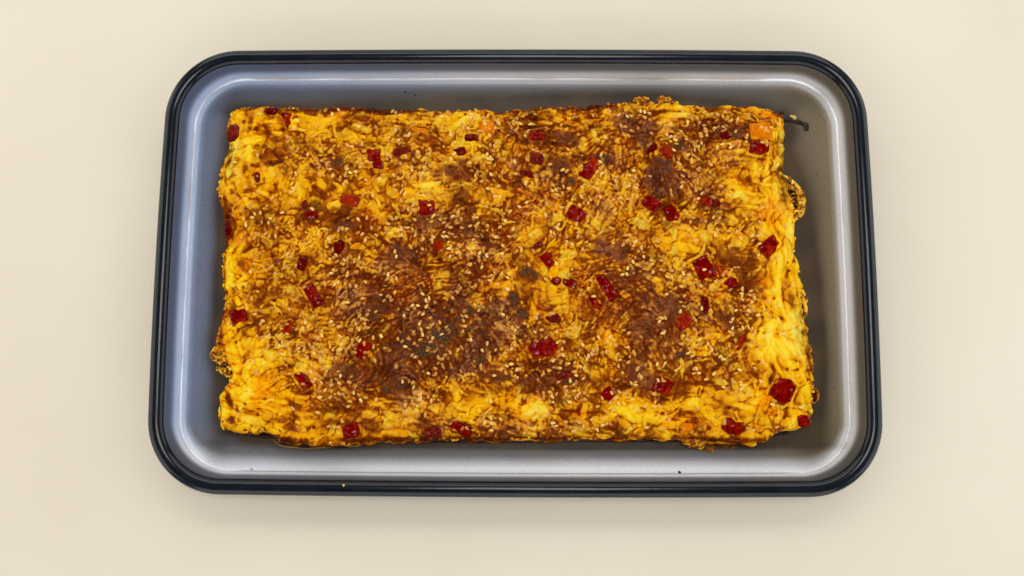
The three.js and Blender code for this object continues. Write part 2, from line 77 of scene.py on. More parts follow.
EDGE_SHREDS = [
    (1.1, [(160, 57, 12), (167.5, 51, 13.2), (172, 42, 12.6), (171, 33, 12), (163, 26, 12)]),
    (1.0, [(-166, -60, 11), (-172.5, -57, 12.6), (-176.6, -50, 12.8), (-172, -44, 11.5)]),
    (0.9, [(-164, -66, 10), (-170, -63, 9.4), (-174.6, -57.5, 8.8), (-171, -51, 9)]),
    (1.0, [(69, 97, 12.5), (73, 102.4, 14), (79, 103.2, 14.2), (82, 98, 12.4)]),
    (0.9, [(86, 98, 12.6), (89.5, 103, 13.8), (94.5, 102.6, 13.8), (96, 97, 12.2)]),
    (1.1, [(158, -20, 11), (168, -12, 12), (171, -26, 12), (166, -34, 10.5)]),
    (1.0, [(96, -96, 9), (101, -102.5, 7), (109, -103.4, 6.4), (115, -97, 8)]),
]
RING_SHRED = {"x": 174.2, "y": -74.6, "z": 11.4, "width": 6.8, "length": 11.6, "radius": 0.95}

# Large pieces along the sides, and yellow ones between the browned patches:
# start, end, half width, bend, rise, tone, hue, pale
HAND_STRANDS = [
    (148, 60, 152, 38, 1.7, 1.5, 0.1, -0.12, 0.3, 0.1), (151, 56, 158, 30, 2.0, 1.5, 0.3, -0.16, 0.2, 0.2),
    (154, 52, 162, 24, 2.2, 1, 0.5, -0.18, 0.15, 0.25), (158, 44, 164, 14, 1.8, 0.8, 0.4, -0.2, 0.1, 0.4),
    (160, 30, 164, -6, 2.0, 0.5, 0.5, -0.18, 0.1, 0.3), (156, 24, 161, 0, 1.8, 0.4, 0.3, -0.14, 0.2, 0.2),
    (153, 30, 156, 6, 1.6, 0.6, 0.1, -0.12, 0.4, 0.1), (161, 8, 165, -16, 1.8, 0.4, 0.6, -0.1, 0.6, 0),
    (158, -8, 162, -30, 2.2, 0.5, 0.5, -0.18, 0.1, 0.3), (152, -4, 156, -26, 1.6, 0.4, 0.2, -0.12, 0.3, 0.1),
    (153, -30, 163, -52, 2.4, 1.2, 0.4, -0.16, 0.2, 0.3), (150, -42, 160, -60, 2.4, 1, 0.4, -0.16, 0.2, 0.1),
    (156, -50, 168, -70, 2.6, 0.8, 0.5, -0.18, 0.2, 0.1), (148, -52, 158, -66, 1.8, 0.6, 0.2, -0.1, 0.5, 0),
    (160, -56, 171, -76, 2.2, 0.6, 0.6, -0.12, 0.5, 0), (161, -34, 166, -52, 1.3, 0.4, 0.6, -0.1, 0.2, 0.8),
    (164, -26, 167, -44, 1.0, 0.8, 0.6, -0.06, 0.2, 0.9), (145, 55, 150, 38, 1.3, 1, 0.2, -0.1, 0.3, 0.2),
    (142, 52, 152, 49, 1.2, 0, 0.7, -0.18, 0.2, 0.2), (153, 58, 158, 46, 2.0, 1.2, 0.4, -0.06, 0.1, 0.9),
    (150, -88, 162, -90, 2.0, 0.6, 0.1, -0.1, 0.4, 0), (138, -92, 150, -98, 2.2, 1, 0.0, -0.06, 0.4, 0),
    (-168, 91, -152, 96, 3.6, 1, 0.7, -0.1, 0.6, 0), (-168, 78, -154, 77, 4.2, 0.6, 0.5, -0.16, 0.3, 0),
    (-156, 90, -146, 72, 2.2, 2, 0.3, -0.06, 0.7, 0), (-176, 51, -165, 34, 2.0, 0.8, 0.5, -0.16, 0.2, 0.1),
    (-167, 76, -170, 52, 1.3, -1.6, 0.4, -0.16, 0.1, 0.8),
    (-172, 74, -172, 64, 1.7, 0.5, -0.4, -0.1, 0.1, 0.9), (-165, 62, -162, 44, 2.6, 1, 0.2, -0.02, 0.8, 0),
    (-170, 14, -165, -8, 2.0, 0.8, 0.2, -0.12, 0.3, 0), (-168, -10, -162, -24, 2.4, 0.6, 0.3, -0.16, 0.2, 0),
    (-171, -45, -170, -59, 1.3, 0.8, 0, -0.08, 0.1, 0.9),
    (-173, -32, -175, -48, 1.7, -0.8, 0, -0.08, 0.3, 0.3),
    (-163, -36, -158, -52, 1.4, -1.4, 0.5, -0.1, 0.4, 0.1),
    (-166, -40, -161, -56, 2.2, 0.5, 0.3, -0.16, 0.2, 0),
    (-158, -60, -150, -72, 2.6, 0.6, 0.3, -0.16, 0.2, 0), (-150, -66, -138, -74, 2.4, 1, 0.4, -0.14, 0.3, 0),
    (-160, -72, -149, -84, 3.0, 0.8, 0.5, -0.18, 0.2, 0),
    (-148, -78, -134, -84, 2.6, 0.8, 0.4, -0.14, 0.3, 0),
    (-156, -90, -139, -93, 2.2, 0.8, 0.3, -0.14, 0.1, 0.3),
    (-140, -58, -136, -72, 1.7, 0.6, 0.2, -0.08, 0.8, 0),
    (-150, -46, -146, -60, 1.7, 0.6, 0.3, -0.12, 0.3, 0), (-134, -74, -122, -80, 1.8, 0.6, 0.3, -0.1, 0.3, 0),
    (-166, 4, -160, 14, 1.5, 0.8, 0.4, -0.1, 0.3, 0), (-126, 92, -112, 88, 1.6, 0.8, 0.2, -0.12, 0.2, 0),
    (-110, 86, -98, 90, 2.4, 1, 0.4, -0.16, 0.2, 0), (-104, 82, -88, 84, 2.6, -0.8, 0.4, -0.16, 0.2, 0.2),
    (-84, 90, -66, 92, 2.2, 0.8, 0.2, -0.12, 0.3, 0), (-66, 88, -50, 84, 1.8, -0.7, 0.3, -0.12, 0.5, 0),
    (-44, 84, -26, 92, 2.4, 0.8, 0.3, -0.14, 0.2, 0.1), (-10, 92, 6, 93, 2.6, 0.6, 0.3, -0.18, 0.2, 0.1),
    (2, 88, 22, 86, 2.2, 0.6, 0.2, -0.12, 0.5, 0), (22, 90, 38, 86, 1.8, 0.5, 0.1, -0.04, 0.6, 0),
    (50, 97, 60, 93, 1.7, 0.4, 0.7, -0.12, 0.4, 0.1), (66, 96, 76, 100, 1.8, -0.8, 0.6, -0.06, 0.4, 0.4),
    (80, 92, 90, 98, 1.8, 1, 0.6, -0.02, 0.5, 0.1), (94, 92, 112, 95, 2.4, 0.6, 0.3, -0.06, 0.2, 0.3),
    (112, 93, 128, 95, 2.4, 0.5, 0.5, -0.14, 0.2, 0.3), (126, 90, 140, 93, 2.2, 0.6, 0.3, -0.08, 0.2, 0.2),
    (90, 78, 104, 66, 1.2, -1.6, 0.5, -0.14, 0.2, 0.2), (94, 84, 114, 68, 1.1, -2.4, 0.5, -0.12, 0.2, 0.3),
    (148, 92, 158, 94, 1.9, 0.8, 0.3, -0.06, 0.5, 0), (-118, -98, -106, -94, 2.2, 0.6, 0.3, -0.12, 0.3, 0),
    (-82, -98, -60, -96, 2.4, 1.6, 0.3, -0.08, 0.4, 0), (-30, -86, -16, -92, 2.2, 0.6, 0.3, -0.12, 0.3, 0),
    (-14, -96, 2, -90, 2.4, 0.8, 0.3, -0.14, 0.2, 0), (-2, -97, 12, -98, 1.8, 0.4, 0.3, -0.14, 0.1, 0.3),
    (34, -86, 48, -95, 2.6, 0.8, 0.4, -0.1, 0.4, 0), (60, -84, 82, -90, 3.0, 1, 0.5, -0.18, 0.1, 0),
    (68, -78, 90, -83, 2.6, 0.8, 0.4, -0.16, 0.2, 0), (84, -92, 100, -88, 2.2, 0.6, 0.3, -0.14, 0.2, 0),
    (100, -95, 112, -90, 2.0, 1, 0.4, -0.04, 0.7, 0), (126, -80, 142, -84, 2.2, 0.6, 0.3, -0.1, 0.4, 0),
    (6, -86, 14, -80, 1.8, 2, 0.5, -0.12, 0.2, 0.2), (22, 12, 34, 20, 2.2, 0.8, 0.4, -0.14, 0.2, 0),
    (24, 8, 22, -14, 2.4, 0.8, 0.4, -0.14, 0.3, 0), (13, -14, 11, -34, 2.0, 0.6, 0.5, -0.18, 0.2, 0),
    (-60, 49, -44, 50, 1.6, 0.8, 0.5, -0.14, 0.2, 0.2), (-14, 46, -2, 42, 2.2, 1, 0.4, -0.12, 0.2, 0),
    (-14, -10, -2, -14, 2.2, 0.6, 0.3, -0.1, 0.3, 0), (-36, -66, -33, -78, 2.4, 0.5, 0.3, -0.12, 0.2, 0),
    (44, -60, 50, -72, 2.2, 0.6, 0.3, -0.12, 0.2, 0.2), (54, -42, 58, -54, 2.2, 0.6, 0.3, -0.1, 0.3, 0),
    (94, 14, 108, 10, 2.0, 0.8, 0.3, -0.1, 0.3, 0), (-154, 45, -140, 44, 1.5, 1, 0.6, -0.18, 0.1, 0),
    (-150, 55, -140, 42, 2.4, 0.8, 0.3, -0.14, 0.2, 0), (-132, 28, -129, 12, 1.6, 0.6, 0.4, -0.16, 0.1, 0.1),
    (-128, 54, -122, 46, 2.0, 0.6, 0.3, -0.1, 0.3, 0),
]
# Ring-shaped and bent shreds of onion: middle, radius, start and sweep in degrees, half width, tone, pale
HAND_CURLS = [
    (153, 47, 6, 20, 150, 0.8, -0.1, 0.2), (140, 38, 7, -40, 200, 0.7, 0.0, 0.2),
    (138, 36, 10, -60, 170, 0.7, 0.02, 0.1), (-153.5, 94.5, 2.4, 0, 330, 0.8, -0.1, 0.9),
    (161.5, 55, 3.0, -90, 260, 0.9, -0.02, 0.8), (74, 97.5, 4, 10, 170, 0.7, -0.02, 0.6),
    (88, 97, 4.4, 0, 190, 0.7, -0.02, 0.5), (-142, 14, 11, 30, 150, 0.8, 0.05, 0),
    (-103, 82, 6, 60, 200, 0.8, 0.0, 0.2), (80, 88, 6, 20, 160, 0.6, 0.1, 0),
    (58, 52, 5, 90, 220, 0.6, 0.05, 0.2), (97, 44, 8, 200, 120, 0.7, -0.02, 0.2),
]
# How a piece of pepper looks
PLAIN, DUSKY, DARK, ORANGE_RED, ORANGE = range(5)
# Small bits of pepper: middle, length, width, turn, look
SMALL_BITS = [
    (-147.1, 94.2, 6.4, 4, 0, 2), (-154.5, 54.9, 7.4, 3, 88, 2), (-8.4, 82.2, 4.6, 4, 20, 1),
    (7.2, 55.8, 8.6, 2.8, -22, 2), (126.2, 79.3, 7, 4, -12, 2), (-125.3, 37.9, 6, 2.6, 70, 2),
    (-10.5, 24.3, 5.6, 2.4, -50, 1), (-5.1, 18.9, 5, 2.4, -40, 3), (13.8, 12.3, 5.4, 3.4, 30, 1),
    (24.3, -8.5, 5.6, 4.2, 0, 0), (119.2, 38.4, 5, 3.4, 10, 2), (132.1, -43.3, 10, 3, 62, 3),
    (-57, 82.8, 9.6, 3, -8, 4), (99.1, -92.7, 6.4, 4.6, 0, 4), (-170.4, 22.6, 7.4, 3, 82, 2),
]


# Surface raster
CELL = 0.4
LOW_X, HIGH_X, LOW_Y, HIGH_Y = -184.0, 184.0, -112.0, 112.0
GRID_X = np.arange(LOW_X, HIGH_X + CELL / 2, CELL)
GRID_Y = np.arange(LOW_Y, HIGH_Y + CELL / 2, CELL)
FIELD_X, FIELD_Y = np.meshgrid(GRID_X, GRID_Y)
NOISE_GAIN, RING_NOISE_GAIN = 1.9, 1.8  # bring spline noise to about -1 to 1


def spline_weights(t):
    """Weights of the four lattice values around a place in a cubic B-spline."""
    return (
        (1 - t) ** 3 / 6,
        (3 * t**3 - 6 * t**2 + 4) / 6,
        (-3 * t**3 + 3 * t**2 + 3 * t + 1) / 6,
        t**3 / 6,
    )


def noise_field(cell, seed, cell_y=None):
    """Smooth noise over the raster, about -1 to 1, with lumps of the given size."""
    cell_y = cell_y or cell
    rng = np.random.default_rng(seed)
    columns = int((HIGH_X - LOW_X) / cell) + 5
    rows = int((HIGH_Y - LOW_Y) / cell_y) + 5
    lattice = rng.uniform(-1, 1, (rows, columns))
    u, v = (GRID_X - LOW_X) / cell, (GRID_Y - LOW_Y) / cell_y
    iu, iv = u.astype(int), v.astype(int)
    across = np.zeros((rows, len(GRID_X)))
    for k, weight in enumerate(spline_weights(u - iu)):
        across += lattice[:, iu + k] * weight
    out = np.zeros(FIELD_X.shape)
    for k, weight in enumerate(spline_weights(v - iv)):
        out += across[iv + k] * weight[:, None]
    return out * NOISE_GAIN


def layered_noise(cell, seed, layers, fall=0.55):
    """Noise of several sizes, each half the one before."""
    total, size, reach = 0.0, 1.0, 0.0
    for k in range(layers):
        total = total + size * noise_field(cell / 2**k, seed + 31 * k)
        reach += size
        size *= fall
    return total / reach**0.7


def sample(field, x, y):
    """Values of a raster field at any places, in millimetres."""
    u = np.clip((x - LOW_X) / CELL, 0, len(GRID_X) - 1.001)
    v = np.clip((y - LOW_Y) / CELL, 0, len(GRID_Y) - 1.001)
    iu, iv = u.astype(int), v.astype(int)
    fu, fv = u - iu, v - iv
    return (
        field[iv, iu] * (1 - fu) * (1 - fv) + field[iv, iu + 1] * fu * (1 - fv)
        + field[iv + 1, iu] * (1 - fu) * fv + field[iv + 1, iu + 1] * fu * fv
    )


def blurred(field, sigma):
    """Gaussian blur, sigma in millimetres."""
    pad = int(4 * sigma / CELL) + 2
    wide = np.pad(field, pad, mode="edge")
    fy = np.fft.fftfreq(wide.shape[0])[:, None]
    fx = np.fft.rfftfreq(wide.shape[1])[None, :]
    spread = np.exp(-2 * (math.pi * sigma / CELL) ** 2 * (fx**2 + fy**2))
    soft = np.fft.irfft2(np.fft.rfft2(wide) * spread, wide.shape)
    return soft[pad:-pad, pad:-pad]


def sample_at(field, x, y):
    """The value of a raster field at one place."""
    return float(sample(field, np.array([x]), np.array([y]))[0])


def smooth_step(low, high, value):
    t = np.clip((value - low) / (high - low), 0, 1)
    return t * t * (3 - 2 * t)


def pie_top(x, y):
    """Height of the pie's top away from its edges, as in the part's source."""
    height = PIE_TOP + DOME_RISE * (1 - (x / 175) ** 4) * (1 - (y / 100) ** 4)
    for i in range(WAVE_COUNT):
        length = LONGEST_WAVE * (SHORTEST_WAVE / LONGEST_WAVE) ** (i / (WAVE_COUNT - 1))
        heading = i * GOLDEN_ANGLE
        ax, ay = TAU / length * math.cos(heading), TAU / length * math.sin(heading)
        height = height + (SMALLEST_WAVE_HEIGHT + WAVE_SLOPE * length) * np.sin(ax * x + ay * y + 1.7 * i)
    return height


def curve_points(points, count):
    """Even points along a centripetal Catmull-Rom curve."""
    p = np.array(points, float)
    p = np.vstack([2 * p[0] - p[1], p, 2 * p[-1] - p[-2]])
    fine = []
    for k in range(1, len(p) - 2):
        knots = [0.0]
        for a in range(3):
            knots.append(knots[-1] + max(np.linalg.norm(p[k + a] - p[k + a - 1]), 1e-9) ** 0.5)
        t0, t1, t2, t3 = knots
        t = np.linspace(t1, t2, 60, endpoint=k == len(p) - 3)[:, None]
        a1 = (t1 - t) / (t1 - t0) * p[k - 1] + (t - t0) / (t1 - t0) * p[k]
        a2 = (t2 - t) / (t2 - t1) * p[k] + (t - t1) / (t2 - t1) * p[k + 1]
        a3 = (t3 - t) / (t3 - t2) * p[k + 1] + (t - t2) / (t3 - t2) * p[k + 2]
        b1 = (t2 - t) / (t2 - t0) * a1 + (t - t0) / (t2 - t0) * a2
        b2 = (t3 - t) / (t3 - t1) * a2 + (t - t1) / (t3 - t1) * a3
        fine.append((t2 - t) / (t2 - t1) * b1 + (t - t1) / (t2 - t1) * b2)
    fine = np.vstack(fine)
    lengths = np.concatenate([[0], np.cumsum(np.linalg.norm(np.diff(fine, axis=0), axis=1))])
    even = np.linspace(0, lengths[-1], count + 1)
    return np.stack([np.interp(even, lengths, fine[:, axis]) for axis in range(fine.shape[1])], 1)


# Meshes
def vertex_values(mesh, key="co"):
    """The places, in metres, or the normals of a mesh's vertices."""
    values = np.zeros(len(mesh.vertices) * 3)
    mesh.vertices.foreach_get(key, values)
    return values.reshape(-1, 3)


def make_mesh(name, points, faces, smooth=True):
    """A mesh from points in millimetres and a list of face arrays, each with one corner count."""
    mesh = bpy.data.meshes.new(name)
    faces = [np.asarray(block, np.int32) for block in faces]
    corners = np.concatenate([block.ravel() for block in faces])
    totals = np.concatenate([np.full(len(block), block.shape[1], np.int32) for block in faces])
    starts = np.concatenate([[0], np.cumsum(totals)[:-1]]).astype(np.int32)
    mesh.vertices.add(len(points))
    mesh.vertices.foreach_set("co", (np.asarray(points, float) * MM).astype(np.float32).ravel())
    mesh.loops.add(len(corners))
    mesh.loops.foreach_set("vertex_index", corners)
    mesh.polygons.add(len(totals))
    mesh.polygons.foreach_set("loop_start", starts)
    mesh.polygons.foreach_set("use_smooth", np.full(len(totals), smooth))
    mesh.update(calc_edges=True)
    mesh.validate()
    made = bpy.data.objects.new(name, mesh)
    bpy.context.scene.collection.objects.link(made)
    return made


def add_values(obj, name, values):
    """Four numbers per vertex that the material reads as a colour."""
    layer = obj.data.color_attributes.new(name, "FLOAT_COLOR", "POINT")
    full = np.ones((len(obj.data.vertices), 4), np.float32)
    full[:, : values.shape[1]] = values
    layer.data.foreach_set("color", full.ravel())


def tube_faces(rows, sides):
    """Quads between rings of points, and fans from the first and last ring to two more points."""
    row, col = np.meshgrid(np.arange(rows - 1), np.arange(sides), indexing="ij")
    a, b = row * sides + col, row * sides + (col + 1) % sides
    quads = np.stack([a, b, b + sides, a + sides], -1).reshape(-1, 4)
    col = np.arange(sides)
    after, last, ends = (col + 1) % sides, (rows - 1) * sides, rows * sides
    caps = np.vstack([
        np.stack([np.full(sides, ends), after, col], 1),
        np.stack([np.full(sides, ends + 1), last + col, last + after], 1),
    ])
    return quads, caps


def tube(path, radii, sides):
    """Points and quads of a round strand along a path, with closed ends."""
    path, radii = np.asarray(path, float), np.asarray(radii, float)
    along = np.gradient(path, axis=0)
    along /= np.linalg.norm(along, axis=1)[:, None] + 1e-9
    up = np.tile([0.0, 0.0, 1.0], (len(path), 1))
    side = np.cross(along, up)
    weak = np.linalg.norm(side, axis=1) < 1e-3
    side[weak] = [1, 0, 0]
    side /= np.linalg.norm(side, axis=1)[:, None]
    over = np.cross(side, along)
    angles = TAU * np.arange(sides) / sides
    ring = side[:, None] * np.cos(angles)[None, :, None] + over[:, None] * np.sin(angles)[None, :, None]
    points = (path[:, None] + ring * radii[:, None, None]).reshape(-1, 3)
    quads, caps = tube_faces(len(path), sides)
    return np.vstack([points, path[:1], path[-1:]]), quads, caps


class Heap:
    """Collects many small closed meshes into one piece."""

    def __init__(self):
        self.points, self.quads, self.tris, self.values, self.count = [], [], [], [], 0

    def add(self, points, quads, tris, values):
        if len(quads):
            self.quads.append(np.asarray(quads) + self.count)
        if len(tris):
            self.tris.append(np.asarray(tris) + self.count)
        self.points.append(points)
        values = np.asarray(values, float)
        self.values.append(np.tile(values, (len(points), 1)) if values.ndim == 1 else values)
        self.count += len(points)

    def build(self, name):
        faces = [np.vstack(kind) for kind in (self.quads, self.tris) if kind]
        obj = make_mesh(name, np.vstack(self.points), faces)
        add_values(obj, "look", np.vstack(self.values))
        return obj


def ball(columns, rows):
    """Unit ball as points, quads and end triangles, its long axis along X."""
    points = [(1.0, 0.0, 0.0)]
    for r in range(1, rows):
        t = math.pi * r / rows
        for c in range(columns):
            a = TAU * c / columns
            points.append((math.cos(t), math.sin(t) * math.cos(a), math.sin(t) * math.sin(a)))
    points.append((-1.0, 0.0, 0.0))
    quads, tris = [], []
    for r in range(rows - 2):
        for c in range(columns):
            n = (c + 1) % columns
            a, b = 1 + r * columns + c, 1 + r * columns + n
            quads.append((a, a + columns, b + columns, b))
    last = len(points) - 1
    for c in range(columns):
        n = (c + 1) % columns
        tris.append((0, 1 + c, 1 + n))
        tris.append((last, last - columns + n, last - columns + c))
    return np.array(points), np.array(quads), np.array(tris)


# Materials
class Nodes:
    """Short way to make a node material."""

    def __init__(self, name):
        self.material = bpy.data.materials.new(name)
        self.material.use_nodes = True
        self.tree = self.material.node_tree
        self.shader = self.tree.nodes["Principled BSDF"]

    def link(self, output, target):
        self.tree.links.new(output, target)

    def node(self, kind, **settings):
        made = self.tree.nodes.new(kind)
        for key, value in settings.items():
            setattr(made, key, value)
        return made

    def set(self, **values):
        for key, value in values.items():
            self.shader.inputs[key.replace("_", " ")].default_value = value

    def feed(self, **outputs):
        for key, output in outputs.items():
            self.link(output, self.shader.inputs[key.replace("_", " ")])

    def values(self, name="look"):
        """The four numbers of a vertex attribute, as outputs."""
        attribute = self.node("ShaderNodeAttribute", attribute_name=name)
        split = self.node("ShaderNodeSeparateColor")
        self.link(attribute.outputs["Color"], split.inputs[0])
        return split.outputs[0], split.outputs[1], split.outputs[2], attribute.outputs["Alpha"]

    def place(self, stretch=(1, 1, 1)):
        """Object coordinates in millimetres."""
        coordinates = self.node("ShaderNodeTexCoord")
        mapping = self.node("ShaderNodeMapping")
        mapping.inputs["Scale"].default_value = [1000 * s for s in stretch]
        self.link(coordinates.outputs["Object"], mapping.inputs["Vector"])
        return mapping.outputs["Vector"]

    def noise(self, size, detail=3.0, rough=0.55, place=None, distort=0.0):
        """Noise with lumps of the given size in millimetres."""
        made = self.node("ShaderNodeTexNoise")
        self.link(place or self.place(), made.inputs["Vector"])
        made.inputs["Scale"].default_value = 1 / size
        made.inputs["Detail"].default_value = detail
        made.inputs["Roughness"].default_value = rough
        made.inputs["Distortion"].default_value = distort
        return made.outputs["Fac"]

    def math(self, operation, a, b=0.0, c=None):
        made = self.node("ShaderNodeMath", operation=operation)
        for slot, value in enumerate((a, b, c)):
            if value is None:
                continue
            if isinstance(value, (int, float)):
                made.inputs[slot].default_value = value
            else:
                self.link(value, made.inputs[slot])
        return made.outputs[0]

    def span(self, value, low, high, to_low=0.0, to_high=1.0):
        made = self.node("ShaderNodeMapRange", interpolation_type="SMOOTHSTEP")
        self.link(value, made.inputs["Value"])
        for key, number in (("From Min", low), ("From Max", high), ("To Min", to_low), ("To Max", to_high)):
            made.inputs[key].default_value = number
        return made.outputs["Result"]

    def ramp(self, value, stops):
        made = self.node("ShaderNodeValToRGB")
        elements = made.color_ramp.elements
        while len(elements) < len(stops):
            elements.new(0.5)
        for element, (position, colour) in zip(elements, stops):
            element.position = position
            element.color = (*colour, 1)
        self.link(value, made.inputs["Fac"])
        return made.outputs["Color"]

    def mix(self, share, a, b, blend="MIX"):
        made = self.node("ShaderNodeMix", data_type="RGBA", blend_type=blend)
        for socket, value in ((made.inputs[0], share), (made.inputs[6], a), (made.inputs[7], b)):
            if isinstance(value, (int, float)):
                socket.default_value = value
            elif isinstance(value, tuple):
                socket.default_value = (*value, 1)
            else:
                self.link(value, socket)
        return made.outputs[2]

    def bump(self, height, strength, distance, below=None):
        made = self.node("ShaderNodeBump")
        made.inputs["Strength"].default_value = strength
        made.inputs["Distance"].default_value = distance * MM
        self.link(height, made.inputs["Height"])
        if below is not None:
            self.link(below, made.inputs["Normal"])
        return made.outputs["Normal"]


def srgb(*levels):
    """A colour given as 0 to 255 levels on a screen, as the shader's linear colour."""
    return tuple((v / 255 / 12.92) if v <= 10 else ((v / 255 + 0.055) / 1.055) ** 2.4 for v in levels)


# The baked surface, drawn on the raster
# Patches that brown the surface (BROWNED) or leave it yellow (YELLOW): middle, half sizes, turn in degrees, strength
BROWNED = [
    (-115, 70, 22, 9, -10, 0.45), (-108, 62, 7, 5, 0, 0.5), (-128, 60, 16, 9, 0, 0.35),
    (-70, 62, 20, 12, 10, 0.25), (-100, 26, 12, 6, 5, 0.55), (-68, 8, 17, 13, 20, 0.55),
    (-62, 22, 8, 8, 0, 0.5), (-98, -8, 18, 14, 0, 0.5), (-80, -26, 20, 16, 0, 0.6),
    (-70, -46, 24, 16, 0, 0.8), (-97, -64, 20, 9, 12, 0.75), (-68, -72, 20, 9, 0, 0.6),
    (-100, -80, 16, 4, -8, 0.4), (-150, 28, 12, 7, 10, 0.25), (-126, 14, 10, 10, 0, 0.3),
    (-120, -48, 16, 10, 0, 0.3), (-40, 56, 22, 8, 0, 0.5), (-50, 28, 12, 8, -10, 0.55),
    (-30, 24, 10, 10, 0, 0.4), (-18, 10, 16, 10, 0, 0.4), (-40, -20, 22, 14, 0, 0.7),
    (-38, -35, 20, 10, 0, 0.95), (-52, -50, 20, 14, 0, 0.9), (-30, -52, 14, 10, 0, 0.5),
    (-46, -70, 18, 9, 0, 0.55), (0, -26, 10, 12, 0, 0.65), (-14, -28, 12, 10, 0, 0.5),
    (-5, -44, 16, 8, 0, 0.45), (30, 80, 14, 7, -8, 0.6), (30, 58, 14, 9, 0, 0.6), (54, 64, 12, 7, 0, 0.55),
    (10, 52, 14, 10, 0, 0.35), (49, 14, 9, 14, 0, 0.5), (48, 2, 6, 6, 0, 0.6), (56, 36, 12, 10, 0, 0.4),
    (4, 30, 12, 8, 0, 0.3), (30, -68, 22, 8, -4, 0.6), (6, -64, 10, 6, 0, 0.4), (40, -38, 12, 8, 0, 0.25),
    (90, 52, 20, 14, -25, 0.8), (66, 86, 13, 8, -30, 0.55), (76, 76, 11, 8, 0, 0.6),
    (86, 70, 12, 6, -40, 0.55), (126, 80, 14, 6, -10, 0.6), (98, 72, 8, 6, 0, 0.5), (128, 66, 12, 8, 0, 0.35),
    (120, 38, 9, 12, 40, 0.45), (66, 2, 12, 12, 0, 0.45), (88, -23, 17, 12, 0, 0.65),
    (66, -22, 10, 12, 0, 0.35), (74, -38, 13, 9, -30, 0.55), (111, -22, 5, 9, 0, 0.45),
    (126, -30, 12, 7, -20, 0.55), (72, -60, 12, 9, -35, 0.6), (98, -50, 8, 6, 30, 0.4),
    (128, -54, 14, 8, 0, 0.4), (106, 27, 12, 3, 0, 0.4), (96, 2, 12, 8, 0, 0.25), (140, -22, 10, 14, 0, 0.2),
    (-48, -95, 9, 3, 5, 0.4), (110, -96, 8, 4, 0, 0.45), (-140, -66, 9, 5, -20, 0.3), (46, 97, 14, 3, 3, 0.6),
    (-132, 96, 34, 1.8, 0, 0.5), (-74, 95.5, 12, 2.2, 0, 0.6), (10, 96, 34, 1.8, 1, 0.4),
    (-148, 95, 5, 3, 0, 0.4), (-156, 4, 18, 56, 0, 0.4), (-40, 90, 110, 10, 0, 0.78),
    (124, 88, 34, 12, 0, 0.85), (0, -94, 110, 8, 0, 0.9), (-50, -45, 30, 24, 0, 0.2),
    (-132, -40, 14, 34, 0, 0.2), (134, -6, 10, 30, 0, 0.2),
]
YELLOW = [
    (-163, 40, 13, 60, 0, 0.4), (-162, -30, 12, 45, 0, 0.35), (-150, -84, 32, 20, 0, 1.0),
    (-150, 86, 28, 12, 0, 0.5), (-110, 90, 50, 7, 0, 0.5), (-45, 88, 30, 7, 0, 0.55), (10, 90, 36, 6, 0, 0.5),
    (-140, -60, 24, 10, 0, 0.35), (-34, 78, 14, 12, 0, 0.4), (30, 12, 22, 10, 40, 0.7),
    (24, -4, 8, 14, 20, 0.4), (12, -24, 5, 12, 8, 0.7), (-52, 49, 10, 4, 12, 0.7), (-8, 44, 9, 6, -30, 0.5),
    (-8, -12, 9, 6, 0, 0.5), (-34, -72, 7, 8, 0, 0.6), (-14, -82, 24, 8, -12, 0.5), (12, -84, 10, 8, 0, 0.5),
    (48, -66, 9, 9, 0, 0.6), (56, -48, 9, 10, 0, 0.4), (40, -86, 26, 8, 0, 0.3), (80, -87, 30, 9, 0, 0.75),
    (-70, -93, 22, 6, -8, 0.4), (158, 10, 14, 60, 0, 0.75), (154, -50, 15, 26, 20, 0.7),
    (160, -80, 14, 14, 0, 0.4), (125, -82, 26, 10, 0, 0.35), (150, 84, 16, 10, 0, 0.4),
    (110, 93, 44, 5, 0, 0.4), (100, 14, 10, 8, 0, 0.4), (132, 12, 9, 8, 0, 0.4), (132, 46, 8, 8, 50, 0.35),
    (-150, 46, 14, 12, 0, 0.4), (-120, 52, 8, 9, 0, 0.4), (-96, 80, 14, 6, 0, 0.35), (-86, 36, 10, 8, 0, 0.3),
    (114, -40, 7, 8, 0, 0.35), (100, -64, 12, 10, 0, 0.3), (-106, -40, 7, 9, 0, 0.4),
    (-95, 42, 34, 30, 0, 0.38),
]
